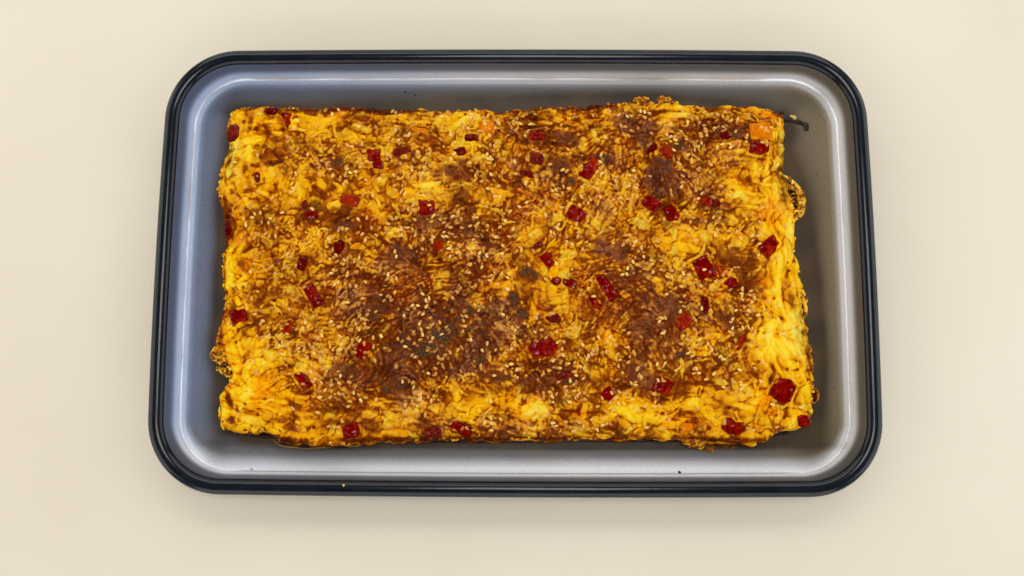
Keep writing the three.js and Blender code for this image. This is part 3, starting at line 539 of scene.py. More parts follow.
# Dark smooth skins and charred lumps: middle, half sizes, turn, rise, how black, how purple
DARK_LUMPS = [
    (9, -5, 5.4, 3.6, -15, 0.9, 0.95, 0.1), (48, 1, 3.6, 4.6, 10, 0.7, 0.95, 0.1),
    (33, 51, 4.2, 3.4, -20, 0.5, 0.85, 0.2), (54, 65, 5, 2.6, -10, 0.5, 0.95, 0.1),
    (-19.5, -54.5, 3.4, 3.2, 0, 0.6, 0.95, 0.05), (-11, -64, 9.5, 2.5, -6, 0.7, 0.9, 0.1),
    (-33, -34, 8, 4.4, -10, 0.8, 0.9, 0.2), (-52, -34, 8, 6, 20, 0.9, 0.7, 0.6),
    (-44, -47, 9, 6, -15, 0.9, 0.75, 0.6), (-73, -52, 8, 6, 30, 0.8, 0.75, 0.5),
    (-62, -44, 6, 8, 10, 0.9, 0.7, 0.6), (-98, -62, 10, 5.5, 0, 0.7, 0.65, 0.7),
    (-70, -70, 8, 5, -10, 0.8, 0.75, 0.4), (-68, 8, 8, 6, 15, 0.7, 0.7, 0.6),
    (-81, -26, 7, 8, -20, 0.7, 0.7, 0.5), (-50, 28, 8, 5, 10, 0.6, 0.55, 0.7),
    (-38, 56, 11, 4.2, -4, 0.5, 0.6, 0.4), (-29, 25, 4, 6, -10, 0.5, 0.65, 0.4),
    (66, 87, 8, 5.6, -35, 0.8, 0.45, 0.9), (76, 77, 6.4, 5, -50, 0.7, 0.55, 0.9),
    (82, 55, 7, 9, -30, 0.8, 0.6, 0.9), (93, 48, 8, 6, 20, 0.8, 0.65, 0.8),
    (88, 62, 7, 4, -20, 0.6, 0.7, 0.7), (127, 81, 8, 3.6, -8, 0.6, 0.7, 0.6),
    (97, 72, 4.6, 3, -20, 0.5, 0.85, 0.3), (62, 8, 6, 5, 0, 0.6, 0.6, 0.8),
    (90, -24, 10, 6.4, -12, 0.8, 0.7, 0.6), (75, -36, 8, 5.6, -30, 0.9, 0.55, 0.8),
    (123, -31, 6, 3.8, -25, 0.7, 0.75, 0.5), (72, -63, 7.6, 5.2, -35, 0.9, 0.6, 0.8),
    (111, -24, 3, 5.4, 5, 0.6, 0.85, 0.2), (30, -66, 12, 3.2, -8, 0.6, 0.7, 0.4),
    (0, -20, 3.6, 5, 0, 0.6, 0.9, 0.1), (4, -28, 3.4, 3, 30, 0.5, 0.9, 0.1),
    (27, 80, 8, 4.4, -10, 0.5, 0.7, 0.5), (27, 60, 9, 4.4, 5, 0.5, 0.65, 0.5),
    (-100, 24, 6, 3.4, 10, 0.5, 0.7, 0.4), (-107, 62, 4.6, 3.2, 0, 0.5, 0.8, 0.4),
    (50, 12, 5, 7, -10, 0.6, 0.55, 0.8), (105, 27, 9, 1.3, 4, 0.4, 0.8, 0.1),
    (97, -50, 5.4, 2, 45, 0.5, 0.85, 0.2), (-40, -40, 9, 5.5, -10, 0.7, 0.95, 0.15),
    (-30, -27, 5, 7.5, -20, 0.7, 0.95, 0.1), (-53, -50, 7.5, 3.6, 15, 0.6, 0.95, 0.15),
    (-88, -56, 4.6, 3, 20, 0.5, 0.9, 0.2), (6, -67, 6, 3, 0, 0.6, 0.6, 0.5),
    (-140, 3.5, 2.6, 2.2, 0, 0.3, 0.8, 0.3), (-161, 1.5, 3, 2.2, 0, -0.3, 0.7, 0.1),
    (-60, 68, 3, 2, 0, 0.3, 0.7, 0.3),
]

# Narrow browned lines close to the edge, laid without any warping
EDGE_BROWN = [
    (-102, 96.4, 50, 1.6, 0, 0.7), (-172.6, 6, 1.9, 42, 0, 0.55), (26, 97.4, 24, 1.7, 3, 0.65),
    (48, 98.8, 9, 2.4, 4, 0.55), (-20, -100.4, 76, 1.5, 0.4, 0.7), (120, -100.4, 24, 1.8, 0, 0.7),
    (-128, -102, 12, 2.4, -8, 0.7), (171.4, -50, 1.7, 9, 0, 0.5), (-165.5, -78, 2.6, 4.4, 20, 0.6),
    (-163, -90, 2.4, 3, 0, 0.5), (159.5, 93.6, 2.2, 2, 0, 0.6), (-171, 24, 2.4, 6, 0, 0.5),
    (84, 94.4, 9, 1.2, 4, 0.5), (-156, 84, 3, 1.4, -10, 0.4), (59, -95, 6, 4, 0, 0.45),
    (-76, 93.8, 8, 1.2, -4, 0.4), (163.5, 2, 1.0, 10, 4, 0.12), (-152, 62, 9, 1.3, 8, 0.4),
    (-148, 33, 15, 1.5, -8, 0.35), (150, -58, 2.4, 5, 0, 0.4),
]
# Numbers of the red pepper nodes that don't look plain
PEPPER_LOOKS = [
    (DUSKY, (1, 4, 6, 8, 30, 38, 43)), (DARK, (5, 14, 22, 34, 47)), (ORANGE_RED, (10, 13, 16, 20, 33)),
]


def turned(x, y, turn):
    """Coordinates along and across a direction, given in degrees."""
    c, s = math.cos(math.radians(turn)), math.sin(math.radians(turn))
    return x * c + y * s, -x * s + y * c


def patch_field(patches):
    """Soft elliptical patches added up over the raster."""
    total = np.zeros(FIELD_X.shape)
    for x, y, half_x, half_y, turn, strength in patches:
        u, v = turned(FIELD_X - x, FIELD_Y - y, turn)
        total += strength * np.exp(-((u / half_x) ** 2 + (v / half_y) ** 2) * 0.9)
    return total


warp_x = 3.4 * noise_field(9, 11) + 1.3 * noise_field(3.4, 12)
warp_y = 3.4 * noise_field(9, 13) + 1.3 * noise_field(3.4, 14)
brown_patches = patch_field(BROWNED)
yellow_patches = patch_field(YELLOW)
middle = np.clip(1 - (np.abs(FIELD_X) / 176) ** 6, 0, 1) * np.clip(1 - (np.abs(FIELD_Y) / 102) ** 6, 0, 1)
brown = 0.16 * middle + np.minimum(brown_patches, 1.1) * 0.25 - np.minimum(yellow_patches, 1.0) * 0.2 + 0.37
brown = sample(brown, FIELD_X + warp_x, FIELD_Y + warp_y)
edge_brown = patch_field(EDGE_BROWN)

base = pie_top(FIELD_X, FIELD_Y)
base = base + 0.4 * noise_field(11, 21) + 0.3 * noise_field(5.5, 22)
PIECES_SINK = 1.5  # the ground between the laid pieces lies this far below the pie's top
surface = base - PIECES_SINK
# What lies on top at each place: tone, hue, place across the piece, whether there is one, how pale
laid = np.zeros((5, *FIELD_X.shape))
laid[1] = 0.4
PIECE_SEED, PEPPER_SEEDS, SESAME_SEED, SHRED_SEED = 20815, (5, 6), 33, 44
rng = np.random.default_rng(PIECE_SEED)


def window(x, y, reach):
    """The part of the raster within reach of a place."""
    i0 = max(0, int((x - reach - LOW_X) / CELL))
    i1 = min(len(GRID_X), int((x + reach - LOW_X) / CELL) + 2)
    j0 = max(0, int((y - reach - LOW_Y) / CELL))
    j1 = min(len(GRID_Y), int((y + reach - LOW_Y) / CELL) + 2)
    return slice(j0, j1), slice(i0, i1)


def lay(x, y, heading, length, half, bend, rise, lean, crown, look, radius=0.0):
    """Lays one shred where it is higher than what is there; with a radius it is a curl round x, y."""
    spot = window(x, y, radius + half if radius else length / 2 + half + abs(bend))
    dx, dy = FIELD_X[spot] - x, FIELD_Y[spot] - y
    if radius:
        u = radius * ((np.arctan2(dy, dx) - heading + math.pi) % TAU - math.pi)
        v = np.hypot(dx, dy) - radius
        t = u / (length / 2)
    else:
        c, s = math.cos(heading), math.sin(heading)
        u, v = dx * c + dy * s, -dx * s + dy * c
        t = u / (length / 2)
        v = v - bend * (t * t - 0.33)
    q = v / (half * np.sqrt(np.clip(1 - t**4, 0, 1)) + 1e-6)
    top = base[spot] + rise + lean * u + crown * half * (np.sqrt(np.clip(1 - q * q, 0, 1)) - 1) - 0.5 * t**6
    better = (np.abs(t) < 1) & (np.abs(q) < 1) & (top > surface[spot])
    surface[spot] = np.where(better, top, surface[spot])
    tone_here, hue_here, pale_here = look
    values = np.stack(np.broadcast_arrays(tone_here, hue_here, q, 1.0, pale_here))
    here = (slice(None), *spot)
    laid[here] = np.where(better, values, laid[here])


# Kinds of scattered pieces: how many, lengths, half widths, rises, crown, tone and its spread,
# share of curls, and whether they lie on browned (1) or yellow (-1) places or on both (0)
KINDS = [
    (1100, (6, 15), (1.8, 4.0), (-1.2, 0.0), 0.35, -0.05, 0.04, 0.0, -1),
    (2300, (5, 13), (1.2, 2.8), (-0.9, 0.3), 0.45, 0.0, 0.05, 0.2, 0),
    (420, (6, 14), (0.5, 0.9), (-0.5, 0.3), 0.7, -0.03, 0.05, 0.5, 0),
    (1300, (1.3, 3.0), (0.5, 1.0), (-0.6, 0.3), 0.6, -0.07, 0.1, 0.0, 1),
]
for number, lengths, halves, rises, crown, tone_middle, tone_spread, curled, wants in KINDS:
    xs, ys = rng.uniform(-179, 179, number), rng.uniform(-105, 105, number)
    browned = smooth_step(0.36, 0.62, sample(brown, xs, ys))
    chance = 1 if wants == 0 else 0.12 + 0.88 * browned if wants > 0 else 1 - 0.75 * browned
    keep = rng.uniform(size=number) < chance
    for x, y in zip(xs[keep], ys[keep]):
        heading = rng.uniform(0, math.pi)
        length, half = rng.uniform(*lengths), rng.uniform(*halves)
        if x > 145 and rng.uniform() < 0.8:
            heading = math.pi / 2 + 0.12 + rng.normal(0, 0.2)
            length *= 1.3
        elif y > 78 and rng.uniform() < 0.5:
            heading = rng.normal(-0.1, 0.35)
        elif y < -78 and rng.uniform() < 0.4:
            heading = rng.normal(-0.25, 0.4)
        radius = rng.uniform(2.0, 6.0) if rng.uniform() < curled else 0.0
        if radius:
            length = min(length, radius * 5)
            heading = rng.uniform(0, TAU)
        fresh = rng.uniform() < 0.28
        look = (rng.normal(tone_middle - 0.11 * fresh, tone_spread), rng.uniform(), rng.uniform() ** 3 * 0.6)
        lay(x, y, heading, length, min(half, length / 2), rng.normal(0, 0.12) * length, rng.uniform(*rises),
            rng.normal(0, 0.04), crown * rng.uniform(0.8, 1.2), look, radius)
for x0, y0, x1, y1, half, bend, rise, tone_here, hue_here, pale_here in HAND_STRANDS:
    lay((x0 + x1) / 2, (y0 + y1) / 2, math.atan2(y1 - y0, x1 - x0), math.hypot(x1 - x0, y1 - y0) + half, half,
        bend, rise, 0.0, 0.45, (tone_here * 0.6, hue_here, pale_here))
for x, y, radius, start, sweep, half, tone_here, pale_here in HAND_CURLS:
    lay(x, y, math.radians(start + sweep / 2), math.radians(sweep) * radius, half, 0.0, 0.7, 0.0, 0.8,
        (tone_here, 0.2, pale_here), radius)

# Baking slumps the pieces: everything is pushed about a little, so that no edge stays straight
slump_x = FIELD_X + 1.2 * noise_field(5.2, 31) + 0.45 * noise_field(2.3, 32) + 0.1 * noise_field(1.1, 38)
slump_y = FIELD_Y + 1.2 * noise_field(5.2, 33) + 0.45 * noise_field(2.3, 34) + 0.1 * noise_field(1.1, 39)
surface = sample(surface, slump_x, slump_y)
laid = np.stack([sample(layer, slump_x, slump_y) for layer in laid])

# Grooves between the pieces, then the egg that fills the low places and is smooth
groove = blurred(np.clip((blurred(surface, 1.0) - surface - 0.05) / 0.45, 0, 1), 0.25)
crusty = smooth_step(0.44, 0.68, brown)
eggy = smooth_step(0.47, 0.32, brown)
film = blurred(surface, 1.5) + 0.16 * crusty + 0.36 * eggy + 0.34 * noise_field(7, 41) + 0.18 * noise_field(3, 42)
BLEND = 0.25
gap = film - surface
surface = surface + BLEND * np.log1p(np.exp(np.clip(gap / BLEND, -30, 30)))
filmed = smooth_step(-0.05, 0.35, gap)
tone_laid, hue_laid, across, marked, pale = laid

# The fibres of the egg and the shredded vegetables: noise drawn out along a field of headings
FIBRE_STEP = 0.5
along_right, along_far = smooth_step(136, 152, FIELD_X), smooth_step(70, 84, FIELD_Y)
along_near = smooth_step(-64, -80, FIELD_Y)
heading_field = 2.2 * layered_noise(22, 151, 2)
heading_field = heading_field * (1 - 0.85 * np.maximum(along_far, along_near)) - 0.25 * along_near
heading_field = heading_field * (1 - 0.85 * along_right) + 1.65 * along_right
flow_x, flow_y = np.cos(heading_field), np.sin(heading_field)


def fibres(cell, seed, reach):
    """Noise smeared along the field of headings, to a distance in millimetres each way."""
    grains = noise_field(cell, seed)
    total = grains.copy()
    for way in (-FIBRE_STEP, FIBRE_STEP):
        x, y = FIELD_X, FIELD_Y
        for _ in range(int(reach / FIBRE_STEP)):
            x, y = x + way * sample(flow_x, x, y), y + way * sample(flow_y, x, y)
            total += sample(grains, x, y)
    return np.clip(0.4 * total / total.std(), -1, 1)


fine_fibres, broad_fibres = fibres(0.9, 152, 3), fibres(2.3, 153, 8)
strokes = np.tanh(3.2 * broad_fibres)
fibrous = 0.45 + 0.55 * eggy
surface += fibrous * (0.24 * fine_fibres + 0.3 * strokes)

# Folds of the egg along the sides, where it is least browned
upright = smooth_step(138, 152, FIELD_X) + smooth_step(-150, -162, FIELD_X)
level = np.clip(smooth_step(66, 80, FIELD_Y) + smooth_step(-62, -78, FIELD_Y), 0, 1) * (1 - np.clip(upright, 0, 1))
folds_up, folds_level = noise_field(2.0, 35, 11), noise_field(11, 36, 2.2)
fold_x, fold_y = FIELD_X + 0.9 * warp_x, FIELD_Y + 0.9 * warp_y
folds = np.clip(upright, 0, 1) * sample(folds_up, fold_x, fold_y) + level * sample(folds_level, fold_x, fold_y)
folds = folds * (1 - 0.7 * crusty)
surface += 0.32 * folds

# Puffs of egg with creases between them
puff_x, puff_y = FIELD_X + 0.5 * warp_x, FIELD_Y + 0.5 * warp_y
puffs = np.abs(sample(noise_field(8.0, 44), puff_x, puff_y))
small_puffs = np.abs(sample(noise_field(3.6, 45), puff_x, puff_y))
surface += (0.5 + 0.8 * eggy) * (puffs - 0.35) + (0.25 + 0.35 * eggy) * (small_puffs - 0.35)
creases = np.exp(-((puffs / 0.06) ** 2)) + 0.6 * np.exp(-((small_puffs / 0.08) ** 2))

# Long wavy lines where skins of egg meet
vein_field = sample(noise_field(13, 46, 4.6), FIELD_X + 1.2 * warp_x, FIELD_Y + 1.2 * warp_y)
veins = np.exp(-((vein_field / 0.045) ** 2)) * smooth_step(-0.15, 0.35, noise_field(14, 47))
surface += 0.35 * smooth_step(0.0, 0.3, vein_field) - 0.3 * veins

# Small lumps and blisters of the crust, stronger where it is browned
surface += (0.05 + 0.2 * crusty) * noise_field(2.2, 51) + (0.03 + 0.15 * crusty) * noise_field(1.1, 52)

# Dark skins and charred lumps
black = np.zeros(FIELD_X.shape)
purple = np.zeros(FIELD_X.shape)
edge_wobble = 0.34 * noise_field(4, 61) + 0.24 * noise_field(1.8, 62) + 0.1 * noise_field(0.9, 63)
char_mottle = np.clip(0.86 + 0.3 * noise_field(1.5, 66) + 0.2 * noise_field(3.5, 67), 0.3, 1.1)
for x, y, half_x, half_y, turn, rise, blackness, purpleness in DARK_LUMPS:
    spot = window(x, y, max(half_x, half_y) * 1.6)
    u, v = turned(FIELD_X[spot] - x, FIELD_Y[spot] - y, turn)
    r = np.sqrt((u / half_x) ** 2 + (v / half_y) ** 2) + edge_wobble[spot]
    share = smooth_step(1.2, 0.7, r)
    dome = base[spot] - 0.1 + rise * np.sqrt(np.clip(1 - 0.8 * r * r, 0, 1))
    surface[spot] = surface[spot] * (1 - 0.6 * share) + dome * 0.6 * share
    black[spot] = np.maximum(black[spot], blackness * share * char_mottle[spot])
    purple[spot] = np.maximum(purple[spot], purpleness * share)

# Pits and bubbles, some of them larger hollows near the edges
EDGE_HOLLOWS = [
    (-166, -77, 1.9), (-163, -89, 1.7), (-160, -84, 1.4), (168, 43, 1.7), (167, 37, 1.6), (-172, -20, 1.5),
    (-168, -72, 1.5), (-171, 30, 1.4), (-153, -97, 1.5), (163, -60, 1.5), (165, 4, 1.3), (-158, 62, 1.4),
    (-140, 84, 1.4), (-164, 88, 1.2), (66, 92, 1.6), (84, 93, 1.5), (-30, 93, 1.2), (112, -93, 1.6),
    (-60, -92, 1.3), (156, -30, 1.2), (158, 60, 1.3),
]
SMALL_PITS = 260
# pit_shade: painted shade in the pits, used for the tone below
pit_shade = np.zeros(FIELD_X.shape)
for pit in range(SMALL_PITS + len(EDGE_HOLLOWS)):
    x, y = rng.uniform(-172, 172), rng.uniform(-98, 98)
    radius = rng.uniform(0.45, 1.2)
    if pit >= SMALL_PITS:
        x, y, radius = EDGE_HOLLOWS[pit - SMALL_PITS]
    spot = window(x, y, radius * 2.4)
    r = np.hypot(FIELD_X[spot] - x, FIELD_Y[spot] - y) / radius
    surface[spot] += 0.16 * np.exp(-((r - 1.3) / 0.35) ** 2) - rng.uniform(0.3, 0.8) * np.exp(-(r**2) * 1.4)
    pit_shade[spot] = np.maximum(pit_shade[spot], np.exp(-(r**2)) * rng.uniform(0.3, 1))


# Diced peppers: each piece's outline, the plane of its top, and the bed that it lies in
def hull(points):
    """Corners of the smallest convex outline, anticlockwise."""
    points = sorted(set(map(tuple, np.round(points, 3))))
    corners = []
    for order in (points, points[::-1]):
        side = []
        for p in order:
            while len(side) > 1 and np.cross(np.subtract(side[-1], side[-2]), np.subtract(p, side[-2])) <= 0:
                side.pop()
            side.append(p)
        corners += side[:-1]
    return np.array(corners)


def chip_mesh(x, y, length, width, turn):
    """A small many-sided bit of pepper as a mesh in metres."""
    sides = 6
    angles = TAU * (np.arange(sides) + rng.uniform(-0.25, 0.25, sides)) / sides
    ring = np.stack([length / 2 * np.cos(angles), width / 2 * np.sin(angles)], 1) * 1.08
    c, s = math.cos(math.radians(turn)), math.sin(math.radians(turn))
    ring = ring @ np.array([[c, s], [-s, c]]) + [x, y]
    top = sample_at(base, x, y) + 0.55
    points = [(*p, top) for p in ring] + [(*p, top - 2.6) for p in ring]
    faces = [tuple(range(sides)), tuple(range(2 * sides - 1, sides - 1, -1))]
    faces += [(k, k + sides, (k + 1) % sides + sides, (k + 1) % sides) for k in range(sides)]
    mesh = bpy.data.meshes.new("chip")
    mesh.from_pydata([tuple(MM * v for v in p) for p in points], [], faces)
    return mesh


all_nodes = sorted(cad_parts)
red_nodes = [name for name in all_nodes if name.startswith("red_pepper")]
orange_nodes = [name for name in all_nodes if name.startswith("orange_pepper")]
pieces = []
for name in red_nodes + orange_nodes:
    number = int(name[-2:])
    kind = ORANGE
    if name in red_nodes:
        kind = next((look for look, numbers in PEPPER_LOOKS if number in numbers), PLAIN)
    pieces.append((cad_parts[name].data.copy(), kind))
pieces += [(chip_mesh(*bit[:5]), bit[5]) for bit in SMALL_BITS]
SWELL = 1.2  # diced pepper swells in the oven, and its skin shows to its full size
for mesh, kind in pieces:
    co = vertex_values(mesh)
    centre_here = (co.min(0) + co.max(0)) / 2
    mesh.vertices.foreach_set("co", ((co - centre_here) * SWELL + centre_here + [0, 0, 0.25 * MM]).ravel())
lap_noise, rag_noise = noise_field(3.2, 64), noise_field(2.2, 65)
ground = surface.copy()
pepper_cover = np.zeros(FIELD_X.shape)
for mesh, kind in pieces:
    co = vertex_values(mesh) / MM
    flat_corners = [co[list(p.vertices)] for p in mesh.polygons if abs(p.normal.z) > 0.9]
    upper = np.vstack([corners for corners in flat_corners if corners[:, 2].mean() > co[:, 2].mean()])
    plane = np.linalg.lstsq(np.column_stack([np.ones(len(upper)), upper[:, :2]]), upper[:, 2], rcond=None)[0]
    corners = hull(co[:, :2])
    spot = window(*corners.mean(0), np.ptp(corners, 0).max() / 2 + 6)
    px, py = FIELD_X[spot], FIELD_Y[spot]
    outside = np.full(px.shape, -1e9)
    for (ax, ay), (bx, by) in zip(corners, np.roll(corners, -1, 0)):
        size = math.hypot(bx - ax, by - ay)
        outside = np.maximum(outside, ((px - ax) * (by - ay) - (py - ay) * (bx - ax)) / size)
    top = plane[0] + plane[1] * px + plane[2] * py
    lap_width, lap_start = (2.4, 0.05) if kind == DUSKY else (2.0, 0.2)
    lap = lap_width * np.clip(1.3 * lap_noise[spot] - lap_start, 0, 1)
    inside = smooth_step(0.1, -0.5, outside + lap)
    pepper_cover[spot] = np.maximum(pepper_cover[spot], inside)
    here = np.minimum(surface[spot], top - 0.25 + 0.5 * np.maximum(outside, 0) + 10 * smooth_step(3, 5, outside))
    lip = top + 0.22 * (lap > 0) * (outside < 0) - 0.75 * np.abs(outside) * (outside > 0) - 0.9 * (lap <= 0)
    here = np.where(outside < 1.5, np.maximum(here, lip), here)
    surface[spot] = here * (1 - inside) + np.minimum(here, top - 1.6) * inside
    ground[spot] = np.where(outside < -0.4, np.maximum(top, surface[spot]), surface[spot])
    tone_laid[spot] += (0.14 + 0.08 * rag_noise[spot]) * np.exp(-((outside / 0.9) ** 2)) * (outside > -2)
    black[spot] *= smooth_step(-0.5, 1.0, outside)

# Sesame under the glaze: low bumps in the crust itself
seed_density = np.clip(0.06 + 0.9 * smooth_step(0.3, 0.6, blurred(brown, 4)), 0, 1)
seed_density *= np.clip(0.5 + 0.8 * noise_field(13, 87) + 0.4 * noise_field(5, 88), 0.03, 1)
glazed_seeds = np.zeros(FIELD_X.shape)
GLAZED = 3400
xs, ys = rng.uniform(-170, 170, GLAZED), rng.uniform(-97, 97, GLAZED)
keep = rng.uniform(size=GLAZED) < sample(seed_density, xs, ys)
for x, y in zip(xs[keep], ys[keep]):
    angle, long_half = rng.uniform(0, 180), rng.uniform(1.4, 1.8)
    spot = window(x, y, 3.4)
    u, v = turned(FIELD_X[spot] - x, FIELD_Y[spot] - y, angle)
    r = (u / long_half) ** 2 + (v / (0.56 * long_half)) ** 2
    surface[spot] += 0.6 * np.sqrt(np.clip(1 - r, 0, 1)) - 0.14 * np.exp(-((r - 1.5) / 0.5) ** 2)
    glazed_seeds[spot] = np.maximum(glazed_seeds[spot], smooth_step(1.15, 0.7, r) * rng.uniform(0.4, 1))

surface = blurred(surface, 0.2)
sharp_high = surface - blurred(surface, 1.0)
broad_high = surface - blurred(surface, 3.2)

# Browning of each place: patches, the shred's own tone, grooves, film and height; the height terms are painted light
# and shade
mottle = layered_noise(5.5, 72, 3)
coarse = layered_noise(16, 75, 2)
swirl = sample(layered_noise(9, 78, 3), FIELD_X + 1.4 * warp_x, FIELD_Y + 1.4 * warp_y)
tone = brown + edge_brown + 0.04 * mottle + 0.12 * coarse + 0.13 * np.tanh(1.8 * swirl)
tone = tone + tone_laid * (1 - 0.5 * filmed)
# Grooves darker, partly brown glaze gathered there and partly painted shade; fold tops lighter, painted light
tone += (0.06 + 0.08 * crusty) * groove + 0.05 * smooth_step(0.1, 0.9, gap) - 0.11 * folds
# Creases between the puffs darker, painted shade; puff tops lighter, painted light
tone += 0.1 * creases + 0.16 * veins - 0.13 * (puffs - 0.3) + (0.02 + 0.1 * crusty) * noise_field(1.0, 53)
crust_fibres = np.tanh(1.8 * fibres(0.8, 160, 3))
surface += 0.24 * crusty * crust_fibres
# Raised fibres are painted lighter, as lit tops
tone -= fibrous * (0.08 * fine_fibres + 0.055 * strokes) + 0.22 * crusty * crust_fibres
# Painted light and shade from the height: ridges lighter, hollows darker
tone += -0.22 * np.clip(sharp_high, -0.4, 0.3) - 0.05 * np.clip(broad_high, -0.9, 0.7)
# Pits darker: painted shade
tone += 0.08 * smooth_step(0.6, 1.0, np.abs(across)) * marked * (1 - filmed) + 0.4 * pit_shade - 0.1 * glazed_seeds
tone -= (0.08 + 0.16 * eggy + 0.22 * crusty) * (blurred(tone, 0.8) - blurred(tone, 4.0))
tone += 1.05 * (tone - blurred(tone, 0.5)) - 0.025
TONE_FROM, TONE_TO, TONE_GAIN = 0.43, 0.41, 0.89
tone = TONE_TO + TONE_GAIN * (tone - TONE_FROM)
FULL_BROWN, BROWN_ROOM = 0.56, 0.37  # above full brown the tone levels off
past_brown = np.maximum(tone - FULL_BROWN, 0)
tone = np.where(tone > FULL_BROWN, FULL_BROWN + BROWN_ROOM * (1 - np.exp(-past_brown / BROWN_ROOM)), tone)
dusk_here = smooth_step(0.54, 0.72, brown) * smooth_step(-0.3, 0.5, layered_noise(8, 86, 3))
purple = np.maximum(purple, 0.8 * dusk_here)
tone = np.maximum(tone, 0.4 + 0.4 * black + 0.08 * mottle - 5 * (black < 0.02))
tone = np.clip(tone, 0, 1)
fresh_corner = patch_field([(-150, -84, 36, 22, 0, 0.16)])
hue = 0.25 * hue_laid + 0.3 + 0.42 * layered_noise(10, 81, 2) + 0.3 * creases - 0.2 * brown - fresh_corner
hue = np.clip(hue, 0, 1)
wet = np.clip(0.35 + 0.4 * filmed + 0.3 * noise_field(5, 83), 0, 1)
wet = wet * (1 - 0.75 * np.clip(groove + creases + veins, 0, 1))
crust = np.clip(smooth_step(0.38, 0.6, brown) * (0.8 + 0.4 * mottle) + 0.5 * glazed_seeds, 0, 1)
pale = pale * (1 - filmed)
froth_field = patch_field([(162.5, 62, 6, 22, 3, 1.1), (167, -36, 5, 15, 4, 1.1), (-168, 66, 4.5, 14, 0, 0.9)])
froth_field = froth_field * np.clip(0.8 + 0.6 * noise_field(2.6, 89), 0, 1.2)
bubbles = noise_field(1.5, 90)
surface += froth_field * (0.5 * bubbles - 0.2)
pale = np.clip(pale + 0.9 * froth_field, 0, 1)
tone = np.clip(tone + froth_field * (0.26 - 0.4 * tone - 0.24 * np.clip(bubbles, -1, 0.5)), 0, 1)


# The pie's mesh
NET_X, NET_Y = 640, 362
SIDE_LEVELS = 16
NET_STEP = 0.54  # millimetres between the net's points, about


def pie_net():
    """Points of the pie's top, blended between its four sides."""
    near, far = curve_points(NEAR_SIDE, NET_X), curve_points(FAR_SIDE, NET_X)
    left, right = curve_points(LEFT_SIDE, NET_Y), curve_points(RIGHT_SIDE, NET_Y)
    u = np.linspace(0, 1, NET_X + 1)[None, :, None]
    v = np.linspace(0, 1, NET_Y + 1)[:, None, None]
    return (
        (1 - v) * near[None] + v * far[None] + (1 - u) * left[:, None] + u * right[:, None]
        - (1 - u) * (1 - v) * near[0] - u * (1 - v) * near[-1] - (1 - u) * v * far[0] - u * v * far[-1]
    )


def ring_noise(cell, seed):
    """Closed noise along the pie's edge, about -1 to 1."""
    count = len(rim)
    cells = max(6, int(round(RIM_LENGTH / cell)))
    lattice = np.random.default_rng(seed).uniform(-1, 1, cells)
    place = np.arange(count) / count * cells
    index = place.astype(int)
    out = np.zeros(count)
    for k, weight in enumerate(spline_weights(place - index)):
        out += lattice[(index + k) % cells] * weight
    return out * RING_NOISE_GAIN


net = pie_net()
index = np.arange((NET_X + 1) * (NET_Y + 1)).reshape(NET_Y + 1, NET_X + 1)
edge_ids = np.concatenate([index[0, :-1], index[:-1, -1], index[-1, :0:-1], index[:0:-1, 0]])
flat = net.reshape(-1, 2)
rim = flat[edge_ids]
RIM_LENGTH = np.linalg.norm(np.roll(rim, -1, 0) - rim, axis=1).sum()
rim_along = np.roll(rim, -3, 0) - np.roll(rim, 3, 0)
rim_along /= np.linalg.norm(rim_along, axis=1)[:, None]
rim_out = np.stack([rim_along[:, 1], -rim_along[:, 0]], 1)
ragged = sum(
    size * ring_noise(cell, seed)
    for size, cell, seed in ((0.6, 9, 91), (0.6, 4, 92), (0.5, 1.9, 93))
)

grid_i, grid_j = np.meshgrid(np.arange(NET_X + 1), np.arange(NET_Y + 1))
from_left, from_right = grid_i * NET_STEP, (NET_X - grid_i) * NET_STEP
from_near, from_far = grid_j * NET_STEP, (NET_Y - grid_j) * NET_STEP
to_edge = np.minimum(np.minimum(from_left, from_right), np.minimum(from_near, from_far))
edge_push = rim_out * ragged[:, None]
near_push = edge_push[: NET_X + 1]
right_push = edge_push[NET_X : NET_X + NET_Y + 1]
far_push = edge_push[NET_X + NET_Y : 2 * NET_X + NET_Y + 1][::-1]
left_push = np.vstack([edge_push[2 * NET_X + NET_Y :], edge_push[0]])[::-1]
SPREAD = 2.6
push = near_push[None] * np.exp(-from_near / SPREAD)[..., None]
push += far_push[None] * np.exp(-from_far / SPREAD)[..., None]
push += left_push[:, None] * np.exp(-from_left / SPREAD)[..., None]
push += right_push[:, None] * np.exp(-from_right / SPREAD)[..., None]
corner = np.exp(-(np.minimum(from_left, from_right) + np.minimum(from_near, from_far)) / SPREAD)
net = net + push * (1 - 0.5 * corner)[..., None]

drop = 2.3 * np.exp(-((to_edge / 1.9) ** 1.1)) + 0.5 * np.exp(-to_edge / 6)
net_x, net_y = net[..., 0], net[..., 1]
net_z = sample(surface, net_x, net_y) - drop
points = np.stack([net_x, net_y, net_z], -1).reshape(-1, 3)
a, b = index[:-1, :-1].ravel(), index[:-1, 1:].ravel()
c, d = index[1:, 1:].ravel(), index[1:, :-1].ravel()
quads = [np.stack([a, b, c, d], 1)]
top_look = np.stack([sample(field, net_x, net_y).ravel() for field in (tone, hue, wet, black)], 1)
top_more = np.stack([sample(field, net_x, net_y).ravel() for field in (purple, crust, pale)], 1)

